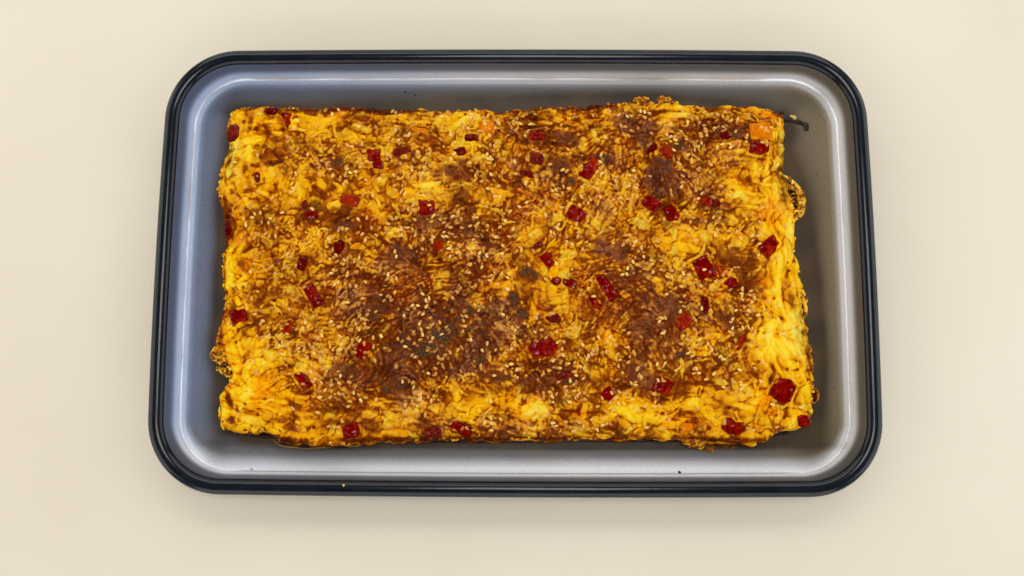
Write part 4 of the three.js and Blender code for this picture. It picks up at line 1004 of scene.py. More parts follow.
# The sides: rows of points from the top's edge down to the tin
edge_points = points[edge_ids]
edge_tone = top_look[edge_ids, 0]
count = len(edge_ids)
rows, looks, mores = [], [], []
shares = 1 - (np.arange(1, SIDE_LEVELS + 1) / SIDE_LEVELS) ** 1.05
for level, share in enumerate(shares):
    bulge = SIDE_BULGE * math.sin(math.pi * min(1, share * 1.3 + 0.1)) * 1.1
    layers = sum(
        size * ring_noise(cell, 200 + int(level * pace) * 7 + k)
        for k, (size, cell, pace) in enumerate(((0.5, 10, 0.34), (0.42, 5, 0.5), (0.28, 2.2, 1)))
    )
    at_foot = share < 0.02
    out = bulge + layers * (0.3 if at_foot else 0.9) - 0.5 * at_foot
    z = PIE_BASE + share * (edge_points[:, 2] - PIE_BASE)
    rows.append(np.column_stack([edge_points[:, :2] + rim_out * out[:, None], z]))
    # The side browns towards its foot; its lowest row is darker still, painted contact shadow where it stands on the
    # tin. The near side is darker low down.
    side_tone = 0.26 + 0.3 * (1 - share) ** 2 + 0.16 * ring_noise(8, 300 + level // 3)
    side_tone += 0.12 * ring_noise(3, 330 + level) + 0.35 * at_foot
    side_tone += 0.3 * smooth_step(-80, -97, edge_points[:, 1]) * (1 - share)
    side_tone = side_tone * (1 - share**3) + edge_tone * share**3
    hues = 0.5 + 0.3 * ring_noise(6, 360 + level)
    looks.append(np.column_stack([np.clip(side_tone, 0, 1), hues, np.full(count, 0.5), np.zeros(count)]))
    mores.append(np.tile([0.0, 0.2, 0.1], (count, 1)))
first = len(points)
upper = edge_ids
ring = np.arange(count)
for level in range(SIDE_LEVELS):
    lower = first + level * count + ring
    quads.append(np.stack([upper, lower, np.roll(lower, -1), np.roll(upper, -1)], 1))
    upper = lower
centre = first + SIDE_LEVELS * count
points = np.vstack([points, *rows, [[0, 0, PIE_BASE]]])
under = np.stack([np.roll(upper, -1), upper, np.full(count, centre)], 1)
pie = make_mesh("baked_pie", points, [np.vstack(quads), under])
add_values(pie, "look", np.vstack([top_look, *looks, [[0.5, 0.5, 0.5, 0]]]))
add_values(pie, "more", np.vstack([top_more, *mores, [[0, 0.2, 0]]]))
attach(pie, "root")
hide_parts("pie")

# Colours of the baked egg and vegetables, from fresh to burnt
YELLOW_RAMP = [
    (0.0, srgb(255, 220, 50)), (0.16, srgb(252, 200, 22)), (0.3, srgb(244, 172, 12)),
    (0.4, srgb(226, 146, 8)), (0.47, srgb(196, 112, 7)), (0.54, srgb(156, 78, 8)), (0.64, srgb(130, 58, 7)),
    (0.78, srgb(100, 38, 5)), (0.9, srgb(74, 24, 5)), (1.0, srgb(46, 20, 10)),
]
ORANGE_RAMP = [
    (0.0, srgb(255, 198, 26)), (0.16, srgb(254, 172, 10)), (0.3, srgb(244, 144, 6)), (0.4, srgb(226, 118, 5)),
    (0.47, srgb(194, 88, 4)), (0.54, srgb(154, 60, 5)), (0.64, srgb(126, 44, 5)), (0.78, srgb(96, 29, 4)),
    (0.9, srgb(70, 19, 5)), (1.0, srgb(46, 20, 12)),
]
CRUST_RAMP = [
    (0.0, srgb(242, 186, 92)), (0.15, srgb(230, 160, 60)), (0.3, srgb(212, 132, 36)),
    (0.42, srgb(188, 102, 20)), (0.5, srgb(156, 74, 12)), (0.6, srgb(130, 56, 11)), (0.72, srgb(106, 42, 11)),
    (0.86, srgb(74, 28, 11)), (1.0, srgb(42, 24, 18)),
]
RED_BROWN_RAMP = [
    (0.0, srgb(226, 130, 50)), (0.3, srgb(196, 92, 24)), (0.5, srgb(150, 58, 14)), (0.7, srgb(112, 36, 10)),
    (0.85, srgb(80, 24, 10)), (1.0, srgb(52, 22, 16)),
]
OLIVE_RAMP = [
    (0.0, srgb(226, 190, 84)), (0.3, srgb(176, 134, 52)), (0.5, srgb(130, 92, 38)), (0.7, srgb(92, 62, 30)),
    (0.85, srgb(66, 44, 26)), (1.0, srgb(44, 32, 24)),
]
PALE_RAMP = [
    (0.0, srgb(248, 232, 120)), (0.2, srgb(236, 212, 78)), (0.4, srgb(214, 176, 40)),
    (0.6, srgb(160, 106, 16)), (0.8, srgb(96, 50, 10)), (1.0, srgb(44, 26, 16)),
]


def baked_material(name):
    m = Nodes(name)
    toned, hued, wetted, blackened = m.values("look")
    purpled, crusted, paled, _ = m.values("more")
    fine, grain = m.noise(1.1, 4, 0.65), m.noise(0.6, 3, 0.65)
    grainy = m.math("MULTIPLY_ADD", crusted, 0.75, 0.45)
    change = m.math("ADD", m.math("MULTIPLY_ADD", fine, 0.36, -0.18), m.math("MULTIPLY_ADD", grain, 0.4, -0.2))
    tone_here = m.math("MULTIPLY_ADD", change, grainy, toned)
    tone_here = m.math("ADD", tone_here, m.math("MULTIPLY_ADD", m.noise(4.0, 3, 0.6, distort=0.8), 0.2, -0.1))
    colour = m.mix(m.span(hued, 0.35, 0.9), m.ramp(tone_here, YELLOW_RAMP), m.ramp(tone_here, ORANGE_RAMP))
    tanned = m.math("MULTIPLY", crusted, m.span(m.noise(3.0, 3, 0.65, distort=0.5), 0.36, 0.62))
    colour = m.mix(m.span(tanned, 0.05, 1.0, 0.0, 0.9), colour, m.ramp(tone_here, CRUST_RAMP))
    colour = m.mix(paled, colour, m.ramp(tone_here, PALE_RAMP))
    olive = m.math("MULTIPLY", crusted, m.span(m.noise(6.0, 3, 0.6, distort=0.6), 0.5, 0.68, 0.0, 0.4))
    colour = m.mix(olive, colour, m.ramp(tone_here, OLIVE_RAMP))
    reddish = m.math("MULTIPLY", crusted, m.span(m.noise(2.4, 3, 0.65, distort=0.7), 0.52, 0.68, 0.0, 0.6))
    colour = m.mix(reddish, colour, m.ramp(tone_here, RED_BROWN_RAMP))
    streaked = m.math("ADD", fine, m.math("MULTIPLY_ADD", grain, 0.7, -0.35))
    dusky = m.ramp(m.math("SUBTRACT", streaked, m.math("MULTIPLY_ADD", toned, 0.8, -0.5)), [
        (0.26, srgb(48, 24, 17)), (0.44, srgb(94, 53, 37)), (0.58, srgb(138, 87, 58)), (0.76, srgb(194, 140, 98)),
    ])
    colour = m.mix(m.math("MULTIPLY", purpled, m.span(m.noise(2.6, 3, 0.6), 0.3, 0.65)), colour, dusky)
    charred = m.ramp(m.noise(0.8, 4, 0.7), [
        (0.32, srgb(36, 27, 18)), (0.5, srgb(74, 57, 38)), (0.66, srgb(128, 100, 70)), (0.8, srgb(176, 140, 100)),
    ])
    colour = m.mix(m.span(blackened, 0.58, 0.96, 0.0, 0.82), colour, charred)
    flecks = m.math("MULTIPLY", crusted, m.span(m.noise(0.75, 2, 0.5), 0.64, 0.76, 0.0, 0.4))
    colour = m.mix(flecks, colour, srgb(214, 152, 92))
    m.feed(Base_Color=colour)
    m.feed(Roughness=m.math("MULTIPLY_ADD", m.noise(2.2, 3, 0.6), 0.3, 0.22))
    m.feed(Coat_Weight=m.span(wetted, 0.45, 1.0, 0.0, 0.45))
    m.set(Coat_Roughness=0.08, Coat_IOR=1.34, Specular_IOR_Level=0.0)
    height = m.math("MULTIPLY", m.noise(0.9, 4, 0.65), m.math("MULTIPLY_ADD", crusted, 0.7, 0.4))
    bump = m.bump(height, 0.8, 0.6)
    m.feed(Normal=m.bump(m.noise(0.4, 2, 0.6), 0.4, 0.25, bump))
    return m.material


pie.data.materials.append(baked_material("baked_egg_and_vegetable"))


# Tin
# Brown film baked onto the tin's floor, with painted shade where the pie shuts out light near its edges: middle, half
# sizes, turn, strength
FLOOR_FILM_AND_SHADE = [
    (168, 66, 4, 9, 8, 0.5), (177, -20, 9, 74, 0, 0.62), (173, 20, 6, 46, 2, 0.6),
    (182, 20, 18, 110, 0, 0.28), (178, -50, 8, 30, 0, 0.5), (152, -99, 16, 3.4, 0, 0.95),
    (100, -103, 60, 3, 0, 0.5), (-110, -104, 32, 3, 0, 0.4), (-152, -99, 12, 4, 0, 0.8),
    (-176, -10, 8, 90, 0, 0.75), (-170, -63, 6, 6, 0, 0.9), (-60, 100, 112, 4, 0, 0.5),
    (60, 103, 66, 5, 0, 0.75), (166, 90, 8, 9, 0, 0.5), (30, -103, 60, 3, 0, 0.5), (0, -112, 150, 9, 0, 0.16),
    (0, 108, 172, 8, 0, 0.5), (0, -104, 150, 2.4, 0, 0.6), (172, -98, 20, 16, 0, 0.35),
]


def tin_ring(inset, corner_steps, long_steps, short_steps):
    """Points round the tin at a distance inside its outline, its sides bowed a little."""
    half_length, half_width = TIN_LENGTH / 2 - SIDE_BOW - inset, TIN_WIDTH / 2 - SIDE_BOW - inset
    radius = max(TIN_CORNER_RADIUS - inset, 2)
    corner_x, corner_y = half_length - radius, half_width - radius
    ring = []
    for quarter in range(4):
        sign_x = 1 if quarter in (0, 3) else -1
        sign_y = 1 if quarter < 2 else -1
        for step in range(corner_steps + 1):
            angle = math.pi / 2 * (quarter + step / corner_steps)
            ring.append((sign_x * corner_x + radius * math.cos(angle), sign_y * corner_y + radius * math.sin(angle)))
        is_long = quarter % 2 == 0
        steps = long_steps if is_long else short_steps
        half = corner_x if is_long else corner_y
        for step in range(1, steps):
            along = 1 - 2 * step / steps
            out = SIDE_BOW * (1 - along * along)
            if is_long:
                ring.append((sign_x * half * along, sign_y * (half_width + out)))
            else:
                ring.append((sign_x * (half_length + out), sign_y * half * along))
    return ring


def arc(centre_inset, centre_height, radius_inset, radius_height, start, end, steps):
    """Inset and height of points along part of an ellipse of the tin's section."""
    angles = np.radians(np.linspace(start, end, steps + 1))
    return list(zip(centre_inset - radius_inset * np.cos(angles), centre_height + radius_height * np.sin(angles)))


FOOT_REACH, FOOT_RISE = 5.4, 5.6  # the curve at the wall's foot
foot_inset, foot_height = WALL_FOOT_INSET + FOOT_RADIUS, SHEET + FOOT_RADIUS
rim_middle = TIN_HEIGHT - RIM_HEIGHT / 2
outside = arc(foot_inset, foot_height, FOOT_RADIUS + SHEET, foot_height, -90, 0, 12)
outside.append((WALL_TOP_INSET - SHEET, rim_middle - RIM_HEIGHT * 0.47))
outside += arc(RIM_WIDTH / 2, rim_middle, RIM_WIDTH / 2, RIM_HEIGHT / 2, -60, 170, 34)
inside = [(WALL_TOP_INSET, rim_middle - RIM_HEIGHT * 0.14)]
inside += [(WALL_TOP_INSET + step, height) for step, height in ((0.2, 15.5), (0.4, 13), (0.6, 11))]
inside += arc(WALL_FOOT_INSET + FOOT_REACH, SHEET + FOOT_RISE, FOOT_REACH, FOOT_RISE, 0, -90, 20)
inside += [(foot_inset + step, FLOOR_TOP) for step in (1.5, 2.5, 3.5, 5, 6.5, 8, *range(10, 38, 2))]
section = outside + inside
tin_points = np.array([(x, y, height) for inset, height in section for x, y in tin_ring(inset, 20, 110, 64)])
ring_size = len(tin_points) // len(section)
tin_quads, fans = tube_faces(len(section), ring_size)
tin_points = np.vstack([tin_points, [[0, 0, 0], [0, 0, FLOOR_TOP]]])
tin = make_mesh("baking_tin", tin_points, [tin_quads, fans])
tin_x, tin_y = tin_points[:, 0], tin_points[:, 1]
distance = np.full(len(tin_points), 1e9)
for place in rim[::6]:
    distance = np.minimum(distance, np.hypot(tin_x - place[0], tin_y - place[1]))
# Darker brown close to the pie: partly baked-on film, partly painted shade and painted reflection of the pie's side
film_and_shade = np.exp(-((distance / 8.5) ** 1.1)) * (1 - 0.45 * smooth_step(-92, -108, tin_y))
for x, y, half_x, half_y, turn, strength in FLOOR_FILM_AND_SHADE:
    u, v = turned(tin_x - x, tin_y - y, turn)
    film_and_shade += strength * np.exp(-((u / half_x) ** 2 + (v / half_y) ** 2))
film_and_shade = np.clip(film_and_shade, 0, 1) * (tin_points[:, 2] < 6)
wall_height = tin_points[:, 2]
foot_end = WALL_FOOT_INSET + FOOT_REACH
ring_inset = np.concatenate([np.repeat([inset for inset, _ in section], ring_size), [100, 100]])
near_side = smooth_step(-90, -122, tin_y)
# painted_foot_light: painted light, brightening the lower wall and the foot curve
painted_foot_light = smooth_step(12.8 - 4 * near_side, 5 - 2.5 * near_side, wall_height)
painted_foot_light *= smooth_step(foot_end + 1.8 + 8 * near_side, foot_end - 4.2 + 3.5 * near_side, ring_inset)
# Real gloss at the foot curve; the same band is also whitened in the material as a painted highlight
foot_gloss_and_painted_highlight = smooth_step(1.7, 2.4, wall_height) * smooth_step(3.5, 2.7, wall_height)
# painted_wall_shade: painted shade high on the walls, stronger on the near wall
painted_wall_shade = smooth_step(7 - 3 * near_side, 15 - 6 * near_side, wall_height) * (1 + 0.5 * near_side)
# Bluish tint on the left side: painted reflection of a bluish light
painted_sky_reflection = smooth_step(60, -190, tin_x) * (1 - 0.85 * smooth_step(-85, -112, tin_y))
# The third number is the warm tint on the right side: painted reflection of warm surroundings
add_values(tin, "look", np.stack([film_and_shade, painted_sky_reflection, smooth_step(120, 200, tin_x), painted_foot_light], 1))
# A dark ring on the floor right round the pie: partly burnt egg, partly painted contact shadow, strongest on the near
# side
burnt_and_shade_ring = 0.3 + 0.65 * smooth_step(-60, -96, tin_y) + 0.25 * smooth_step(60, 96, tin_y)
burnt_and_shade_ring += 0.3 * smooth_step(-140, -170, tin_x)
burnt_and_shade_ring = np.clip(burnt_and_shade_ring * np.exp(-((distance / 3.0) ** 2)), 0, 0.95) * (wall_height < 6)
add_values(tin, "more", np.stack([foot_gloss_and_painted_highlight, painted_wall_shade, burnt_and_shade_ring, 0 * film_and_shade], 1))
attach(tin, "root")
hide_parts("tin")


def rim_material():
    m = Nodes("tin_rim_gloss")
    colour = m.ramp(m.noise(14, 4, 0.6), [(0.3, (0.004, 0.006, 0.009)), (0.7, (0.009, 0.012, 0.018))])
    m.feed(Base_Color=colour)
    m.feed(Roughness=m.math("MULTIPLY_ADD", m.noise(4, 3, 0.6), 0.1, 0.14))
    m.set(Coat_Weight=0.2, Coat_Roughness=0.06, Specular_IOR_Level=0.25)
    m.feed(Normal=m.bump(m.noise(3, 2, 0.5), 0.06, 0.3))
    return m.material


def satin_material():
    m = Nodes("tin_satin_coat")
    film_and_shade_here, left, right, light = m.values("look")
    gloss_and_painted_highlight, dark, burnt_and_shade, _ = m.values("more")
    grain = m.noise(0.55, 3, 0.7)
    # Bluish wall on the left: painted reflection
    base_colour = m.mix(left, srgb(136, 134, 134), srgb(124, 133, 156))
    # Warm tint on the right: painted reflection
    base_colour = m.mix(m.math("MULTIPLY", right, 0.9), base_colour, srgb(142, 124, 90))
    # Painted highlight colour for the foot of the wall, bluish on the left
    painted_foot_highlight = m.mix(left, srgb(236, 237, 240), srgb(204, 224, 254))
    base_colour = m.mix(light, base_colour, painted_foot_highlight)
    # Painted shade high on the walls
    base_colour = m.mix(m.math("MULTIPLY", dark, 0.6), base_colour, m.mix(left, srgb(64, 67, 72), srgb(58, 72, 98)))
    # Painted highlight where the foot curve is glossy
    base_colour = m.mix(m.math("MULTIPLY", gloss_and_painted_highlight, 0.6), base_colour, srgb(244, 246, 250))
    speck = m.ramp(grain, [(0.3, (0.4, 0.4, 0.4)), (0.5, (1, 1, 1)), (0.72, (1.7, 1.7, 1.7))])
    colour = m.mix(m.math("MULTIPLY_ADD", light, -0.3, 0.6), base_colour, speck, "MULTIPLY")
    colour = m.mix(m.span(m.noise(1.4, 3, 0.7), 0.6, 0.8, 0.0, 0.25), colour, srgb(160, 160, 166))
    # Brown of the baked-on film, which also carries the painted shade near the pie
    brownish = m.mix(m.span(m.noise(30, 3, 0.5), 0.35, 0.65), srgb(58, 43, 25), srgb(80, 63, 38))
    colour = m.mix(m.span(film_and_shade_here, 0.05, 0.9, 0.0, 0.95), colour, brownish)
    # Dark ring round the pie: burnt egg and painted contact shadow
    colour = m.mix(burnt_and_shade, colour, srgb(26, 14, 7))
    m.feed(Base_Color=colour)
    rough = m.math("MULTIPLY_ADD", gloss_and_painted_highlight, -0.18, 0.34)
    m.feed(Roughness=m.math("MULTIPLY_ADD", grain, 0.14, rough))
    m.feed(Metallic=m.math("MULTIPLY_ADD", gloss_and_painted_highlight, 0.4, 0.1))
    m.set(Specular_IOR_Level=0.35)
    m.feed(Normal=m.bump(grain, 0.25, 0.12))
    return m.material


tin.data.materials.append(rim_material())
tin.data.materials.append(satin_material())
slots = np.zeros(len(tin.data.polygons), np.int32)
slots[: len(tin_quads)] = (np.arange(len(tin_quads)) // ring_size >= len(outside) - 1).astype(np.int32)
slots[len(tin_quads) + ring_size :] = 1
tin.data.polygons.foreach_set("material_index", slots)


# Diced peppers with round edges and wet skins
PEPPER_BEVEL, PEPPER_VOXEL = 0.8, 0.45
# Shade, warmth and dusk of each look
LOOK_VALUES = {
    PLAIN: (0.2, 0.0, 0.0), DUSKY: (0.35, 0.0, 0.8), DARK: (0.85, 0.0, 0.2), ORANGE_RED: (0.25, 0.5, 0.12),
    ORANGE: (0.1, 0.5, 0.0),
}


def soft_copy(chosen, name, seed):
    """The chosen pieces with round edges and fine unevenness, joined into one."""
    depsgraph = bpy.context.evaluated_depsgraph_get
    heap = Heap()
    rng = np.random.default_rng(seed)
    for mesh, kind in chosen:
        made = bpy.data.objects.new("soft_piece", mesh)
        bpy.context.scene.collection.objects.link(made)
        made.modifiers.new("weld", "WELD").merge_threshold = 1e-5
        flat_faces = made.modifiers.new("flat", "DECIMATE")
        flat_faces.decimate_type = "DISSOLVE"
        flat_faces.angle_limit = math.radians(2)
        bevel = made.modifiers.new("bevel", "BEVEL")
        bevel.width = PEPPER_BEVEL * MM
        bevel.segments = 3
        bevel.limit_method = "ANGLE"
        bevel.angle_limit = math.radians(20)
        fine = made.modifiers.new("fine", "REMESH")
        fine.mode = "VOXEL"
        fine.voxel_size = PEPPER_VOXEL * MM
        done = bpy.data.meshes.new_from_object(made.evaluated_get(depsgraph()))
        co, normals = vertex_values(done) / MM, vertex_values(done, "normal")
        local = co - co.mean(0)
        swell = np.zeros(len(co))
        for k in range(6):
            direction = rng.normal(0, 1, 3)
            direction /= np.linalg.norm(direction)
            swell += 0.13 / (1 + 0.35 * k) * np.sin(local @ direction * (0.7 + 0.5 * k) + rng.uniform(0, TAU))
        co = co + normals * swell[:, None]
        quads, tris = [], []
        for polygon in done.polygons:
            corners = list(polygon.vertices)
            (quads if len(corners) == 4 else tris).append(corners)
        heap.add(co, quads, tris, (*LOOK_VALUES[kind], rng.uniform()))
        bpy.data.objects.remove(made)
        bpy.data.meshes.remove(mesh)
        bpy.data.meshes.remove(done)
    return heap.build(name)


def pepper_material(name, dark, mid, light, pale, warm):
    m = Nodes(name)
    shade, warmth, dusk, _ = m.values("look")
    cells = m.noise(1.3, 4, 0.6)
    colour = m.ramp(cells, [(0.25, dark), (0.5, mid), (0.75, light)])
    colour = m.mix(m.span(m.noise(5.0, 2, 0.5), 0.45, 0.7, 0.0, 0.5), colour, light)
    colour = m.mix(m.span(m.noise(6.5, 3, 0.6), 0.5, 0.68, 0.0, 0.5), colour, warm)
    # Thin pale streaks on the skin are painted highlights, not the flesh's colour
    painted_glint_streaks = m.span(m.noise(2.0, 2, 0.5, m.place((0.3, 1.0, 1.0)), 1.5), 0.64, 0.74)
    colour = m.mix(m.math("MULTIPLY", painted_glint_streaks, 0.06), colour, pale)
    colour = m.mix(m.math("MULTIPLY", warmth, m.span(m.noise(3.5, 2, 0.5), 0.3, 0.6)), colour, warm)
    colour = m.mix(m.math("MULTIPLY", dusk, m.span(cells, 0.3, 0.65)), colour, srgb(98, 38, 26))
    colour = m.mix(m.math("MULTIPLY", shade, 0.7), colour, dark)
    m.feed(Base_Color=colour)
    m.feed(Roughness=m.math("MULTIPLY_ADD", cells, 0.2, 0.2))
    m.feed(Coat_Weight=m.span(m.noise(2.6, 2, 0.5), 0.5, 0.64, 0.04, 0.7))
    m.set(Coat_Roughness=0.06, Specular_IOR_Level=0.0)
    m.feed(Normal=m.bump(m.noise(2.4, 2, 0.5), 0.5, 0.9))
    return m.material


red = soft_copy([piece for piece in pieces if piece[1] != ORANGE], "red_pepper_dice", PEPPER_SEEDS[0])
red.data.materials.append(pepper_material(
    "red_pepper_flesh", srgb(62, 0, 0), srgb(116, 1, 0), srgb(160, 10, 1), srgb(200, 62, 26), srgb(206, 58, 4)
))
orange = soft_copy([piece for piece in pieces if piece[1] == ORANGE], "orange_pepper_dice", PEPPER_SEEDS[1])
orange.data.materials.append(pepper_material(
    "orange_pepper_flesh",
    srgb(190, 92, 2), srgb(230, 130, 4), srgb(246, 170, 18), srgb(248, 196, 60), srgb(214, 100, 2),
))
for piece, nodes, slot in ((red, red_nodes, "red_pepper"), (orange, orange_nodes, "orange_pepper")):
    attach(piece, "root")
    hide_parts(*nodes)


# Sesame seeds
slope_x = np.gradient(blurred(ground, 0.8), CELL, axis=1)
slope_y = np.gradient(blurred(ground, 0.8), CELL, axis=0)
SEEDS = 1550
SEED_REACH_X, SEED_REACH_Y = 168, 96
SEED_WIDTH_SHARE, SEED_THICKNESS_SHARE = 0.3, 0.2  # half sizes, as shares of the length
RIM_ROOM = 1.2
CAD_SEED_RISE, CAD_SEED_GROUP = 0.5, 2.6  # how high and how near each other the points of a packed seed are
seed_points, seed_quads, seed_tris = ball(8, 6)
taper = 1 - 0.28 * seed_points[:, 0] - 0.12 * seed_points[:, 0] ** 2
seed_shape = seed_points * np.stack([np.ones(len(taper)), taper, taper], 1)
seeds = Heap()


def lay_seed(x, y, turn, length, lift, shade):
    z, sx, sy = (sample_at(field, x, y) for field in (ground, slope_x, slope_y))
    lean = Vector((0, 0, 1)).rotation_difference(Vector((-sx, -sy, 1)).normalized()).to_matrix()
    spin = Matrix.Rotation(turn, 3, "Z")
    shape = seed_shape * np.array([length / 2, length * SEED_WIDTH_SHARE, length * SEED_THICKNESS_SHARE])
    placed = shape @ np.array(lean @ spin).T + [x, y, z + lift]
    seeds.add(placed, seed_quads, seed_tris, (*shade, 1))


def on_pie(x, y):
    """Whether a point lies inside the pie's rim, a little way from it."""
    x0, y0 = rim[:, 0], rim[:, 1]
    x1, y1 = np.roll(x0, -1), np.roll(y0, -1)
    spans = (y0 > y) != (y1 > y)
    crossed = x0[spans] + (x1 - x0)[spans] * (y - y0[spans]) / (y1 - y0)[spans] > x
    return crossed.sum() % 2 == 1 and np.hypot(x0 - x, y0 - y).min() > RIM_ROOM


def cad_seeds():
    """Middle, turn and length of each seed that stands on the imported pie."""
    co = vertex_values(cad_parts["pie"].data) / MM
    co = co[(np.abs(co[:, 0]) < 166) & (np.abs(co[:, 1]) < 93)]
    above = co[:, 2] - pie_top(co[:, 0], co[:, 1])
    co, above = co[above > 0.1], above[above > 0.1]
    found = []
    while len(co) and above.max() > CAD_SEED_RISE:
        near = np.linalg.norm(co[:, :2] - co[above.argmax(), :2], axis=1) < CAD_SEED_GROUP
        group = co[near, :2] - co[near, :2].mean(0)
        if near.sum() > 5:
            long_axis = np.linalg.eigh(group.T @ group)[1][:, 1]
            reach = np.ptp(group @ long_axis)
            turn = math.atan2(long_axis[1], long_axis[0])
            found.append((*co[near, :2].mean(0), turn, min(max(reach, 3.0), 3.9)))
        co, above = co[~near], above[~near]
    return found


seed_rng = np.random.default_rng(SESAME_SEED)
cad_places = cad_seeds()
for x, y, turn, length in cad_places:
    lay_seed(x, y, turn, length, 0.4, (seed_rng.uniform(0, 0.5), seed_rng.uniform(), seed_rng.uniform()))
placed_seeds = len(cad_places)
while placed_seeds < SEEDS:
    x, y = seed_rng.uniform(-SEED_REACH_X, SEED_REACH_X), seed_rng.uniform(-SEED_REACH_Y, SEED_REACH_Y)
    share, baked = (sample_at(field, x, y) for field in (seed_density, brown))
    covered = sample_at(pepper_cover, x, y)
    if seed_rng.uniform() > share * (1 - 0.75 * covered) or not on_pie(x, y):
        continue
    glaze = seed_rng.uniform() < 0.35 + 0.4 * baked
    toasted = seed_rng.uniform(0.0, 0.5) + (0.4 if glaze else 0.0)
    shade = (toasted * min(1, 0.4 + 1.2 * max(baked - 0.3, 0)), seed_rng.uniform(), seed_rng.uniform())
    lay_seed(x, y, seed_rng.uniform(0, TAU), seed_rng.uniform(2.6, 3.2), seed_rng.uniform(-0.15, 0.3), shade)
    placed_seeds += 1
sesame = seeds.build("sesame_seeds")


def sesame_material():
    m = Nodes("toasted_sesame")
    shade, second, _, _ = m.values("look")
    fine = m.noise(0.6, 3, 0.6)
    value = m.math("ADD", shade, m.math("MULTIPLY_ADD", fine, 0.3, -0.15))
    colour = m.ramp(value, [
        (0.0, srgb(255, 220, 122)), (0.25, srgb(242, 182, 84)), (0.5, srgb(208, 140, 50)), (0.75, srgb(166, 98, 26)),
        (1.0, srgb(120, 66, 12)),
    ])
    ruddy = m.ramp(value, [(0.0, srgb(250, 188, 112)), (1.0, srgb(116, 52, 12))])
    colour = m.mix(m.math("MULTIPLY", second, 0.3), colour, ruddy)
    m.feed(Base_Color=colour)
    m.feed(Roughness=m.math("MULTIPLY_ADD", fine, 0.2, 0.25))
    m.set(Coat_Weight=0.15, Coat_Roughness=0.15, Specular_IOR_Level=0.05)
    m.feed(Normal=m.bump(fine, 0.15, 0.2))
    return m.material


sesame.data.materials.append(sesame_material())
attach(sesame, "root")


# Shreds, crumbs and froth along the edges
shreds = Heap()
shred_rng = np.random.default_rng(SHRED_SEED)
bead_points, bead_quads, bead_tris = ball(7, 6)
SHORT_SIDE = 150  # beyond this place along X a shred hangs from a short side and is paler
SHRED_WET = 0.7
INNER_STEP = 2.2  # how far inside the rim a crumb takes its tone from
EDGE_STRANDS, EDGE_CRUMBS, EDGE_CURLS = 300, 1120, 110
# How the large shreds are dressed: share of fresh hues, strand tone, beads and their largest size, curls, their tones
# and half width, inner strands, crumbs
PALE_DRESS = (0.3, 0.5, 34, 1.4, 6, (0.05, 0.5), 0.7, 2, 12)
BROWN_DRESS = (1.0, 1, 44, 1.1, 5, (0.15, 0.6), 0.5, 4, 26)


def add_shred(points, radius, look, steps=22, sides=8, heap=shreds):
    """A strand of uneven thickness."""
    path = curve_points(points, steps)
    t = np.linspace(0, 1, len(path))
    phases = shred_rng.uniform(0, TAU, 6)
    uneven = 0.16 * np.sin(t * 13 + phases[0]) + 0.12 * np.sin(t * 29 + phases[1])
    radii = radius * np.clip(np.sqrt(1 - np.abs(2 * t - 1) ** 5), 0.25, 1) * (1 + uneven)
    path[:, 0] += 0.25 * radius * np.sin(t * 19 + phases[2])
    path[:, 1] += 0.25 * radius * np.sin(t * 17 + phases[3])
    path[:, 2] += 0.3 * radius * np.sin(t * 21 + phases[4])
    placed, quads, caps = tube(path, radii, sides)
    heap.add(placed, quads, caps, look)


def add_lump(place, size, look, heap=shreds, flat=0.8):
    """A small uneven lump."""
    wobble = 1 + 0.22 * np.sin(bead_points @ shred_rng.normal(0, 2.2, 3) + shred_rng.uniform(0, TAU))
    shape = bead_points * wobble[:, None] * size * shred_rng.uniform(0.7, 1.3, 3) * [1, 1, flat]
    spin = np.array(Matrix.Rotation(shred_rng.uniform(0, TAU), 3, "Z"))
    heap.add(shape @ spin.T + place, bead_quads, bead_tris, look)


def add_curl(place, radius, thickness, look):
    """A curled end of a shred: part of a tilted ring."""
    angles = shred_rng.uniform(0, TAU) + np.linspace(0, shred_rng.uniform(2.6, 5.2), 6)
    rise = 0.5 * np.sin(angles + shred_rng.uniform(0, TAU))
    add_shred(place + radius * np.column_stack([np.cos(angles), np.sin(angles), rise]), thickness, look, 16, 7)


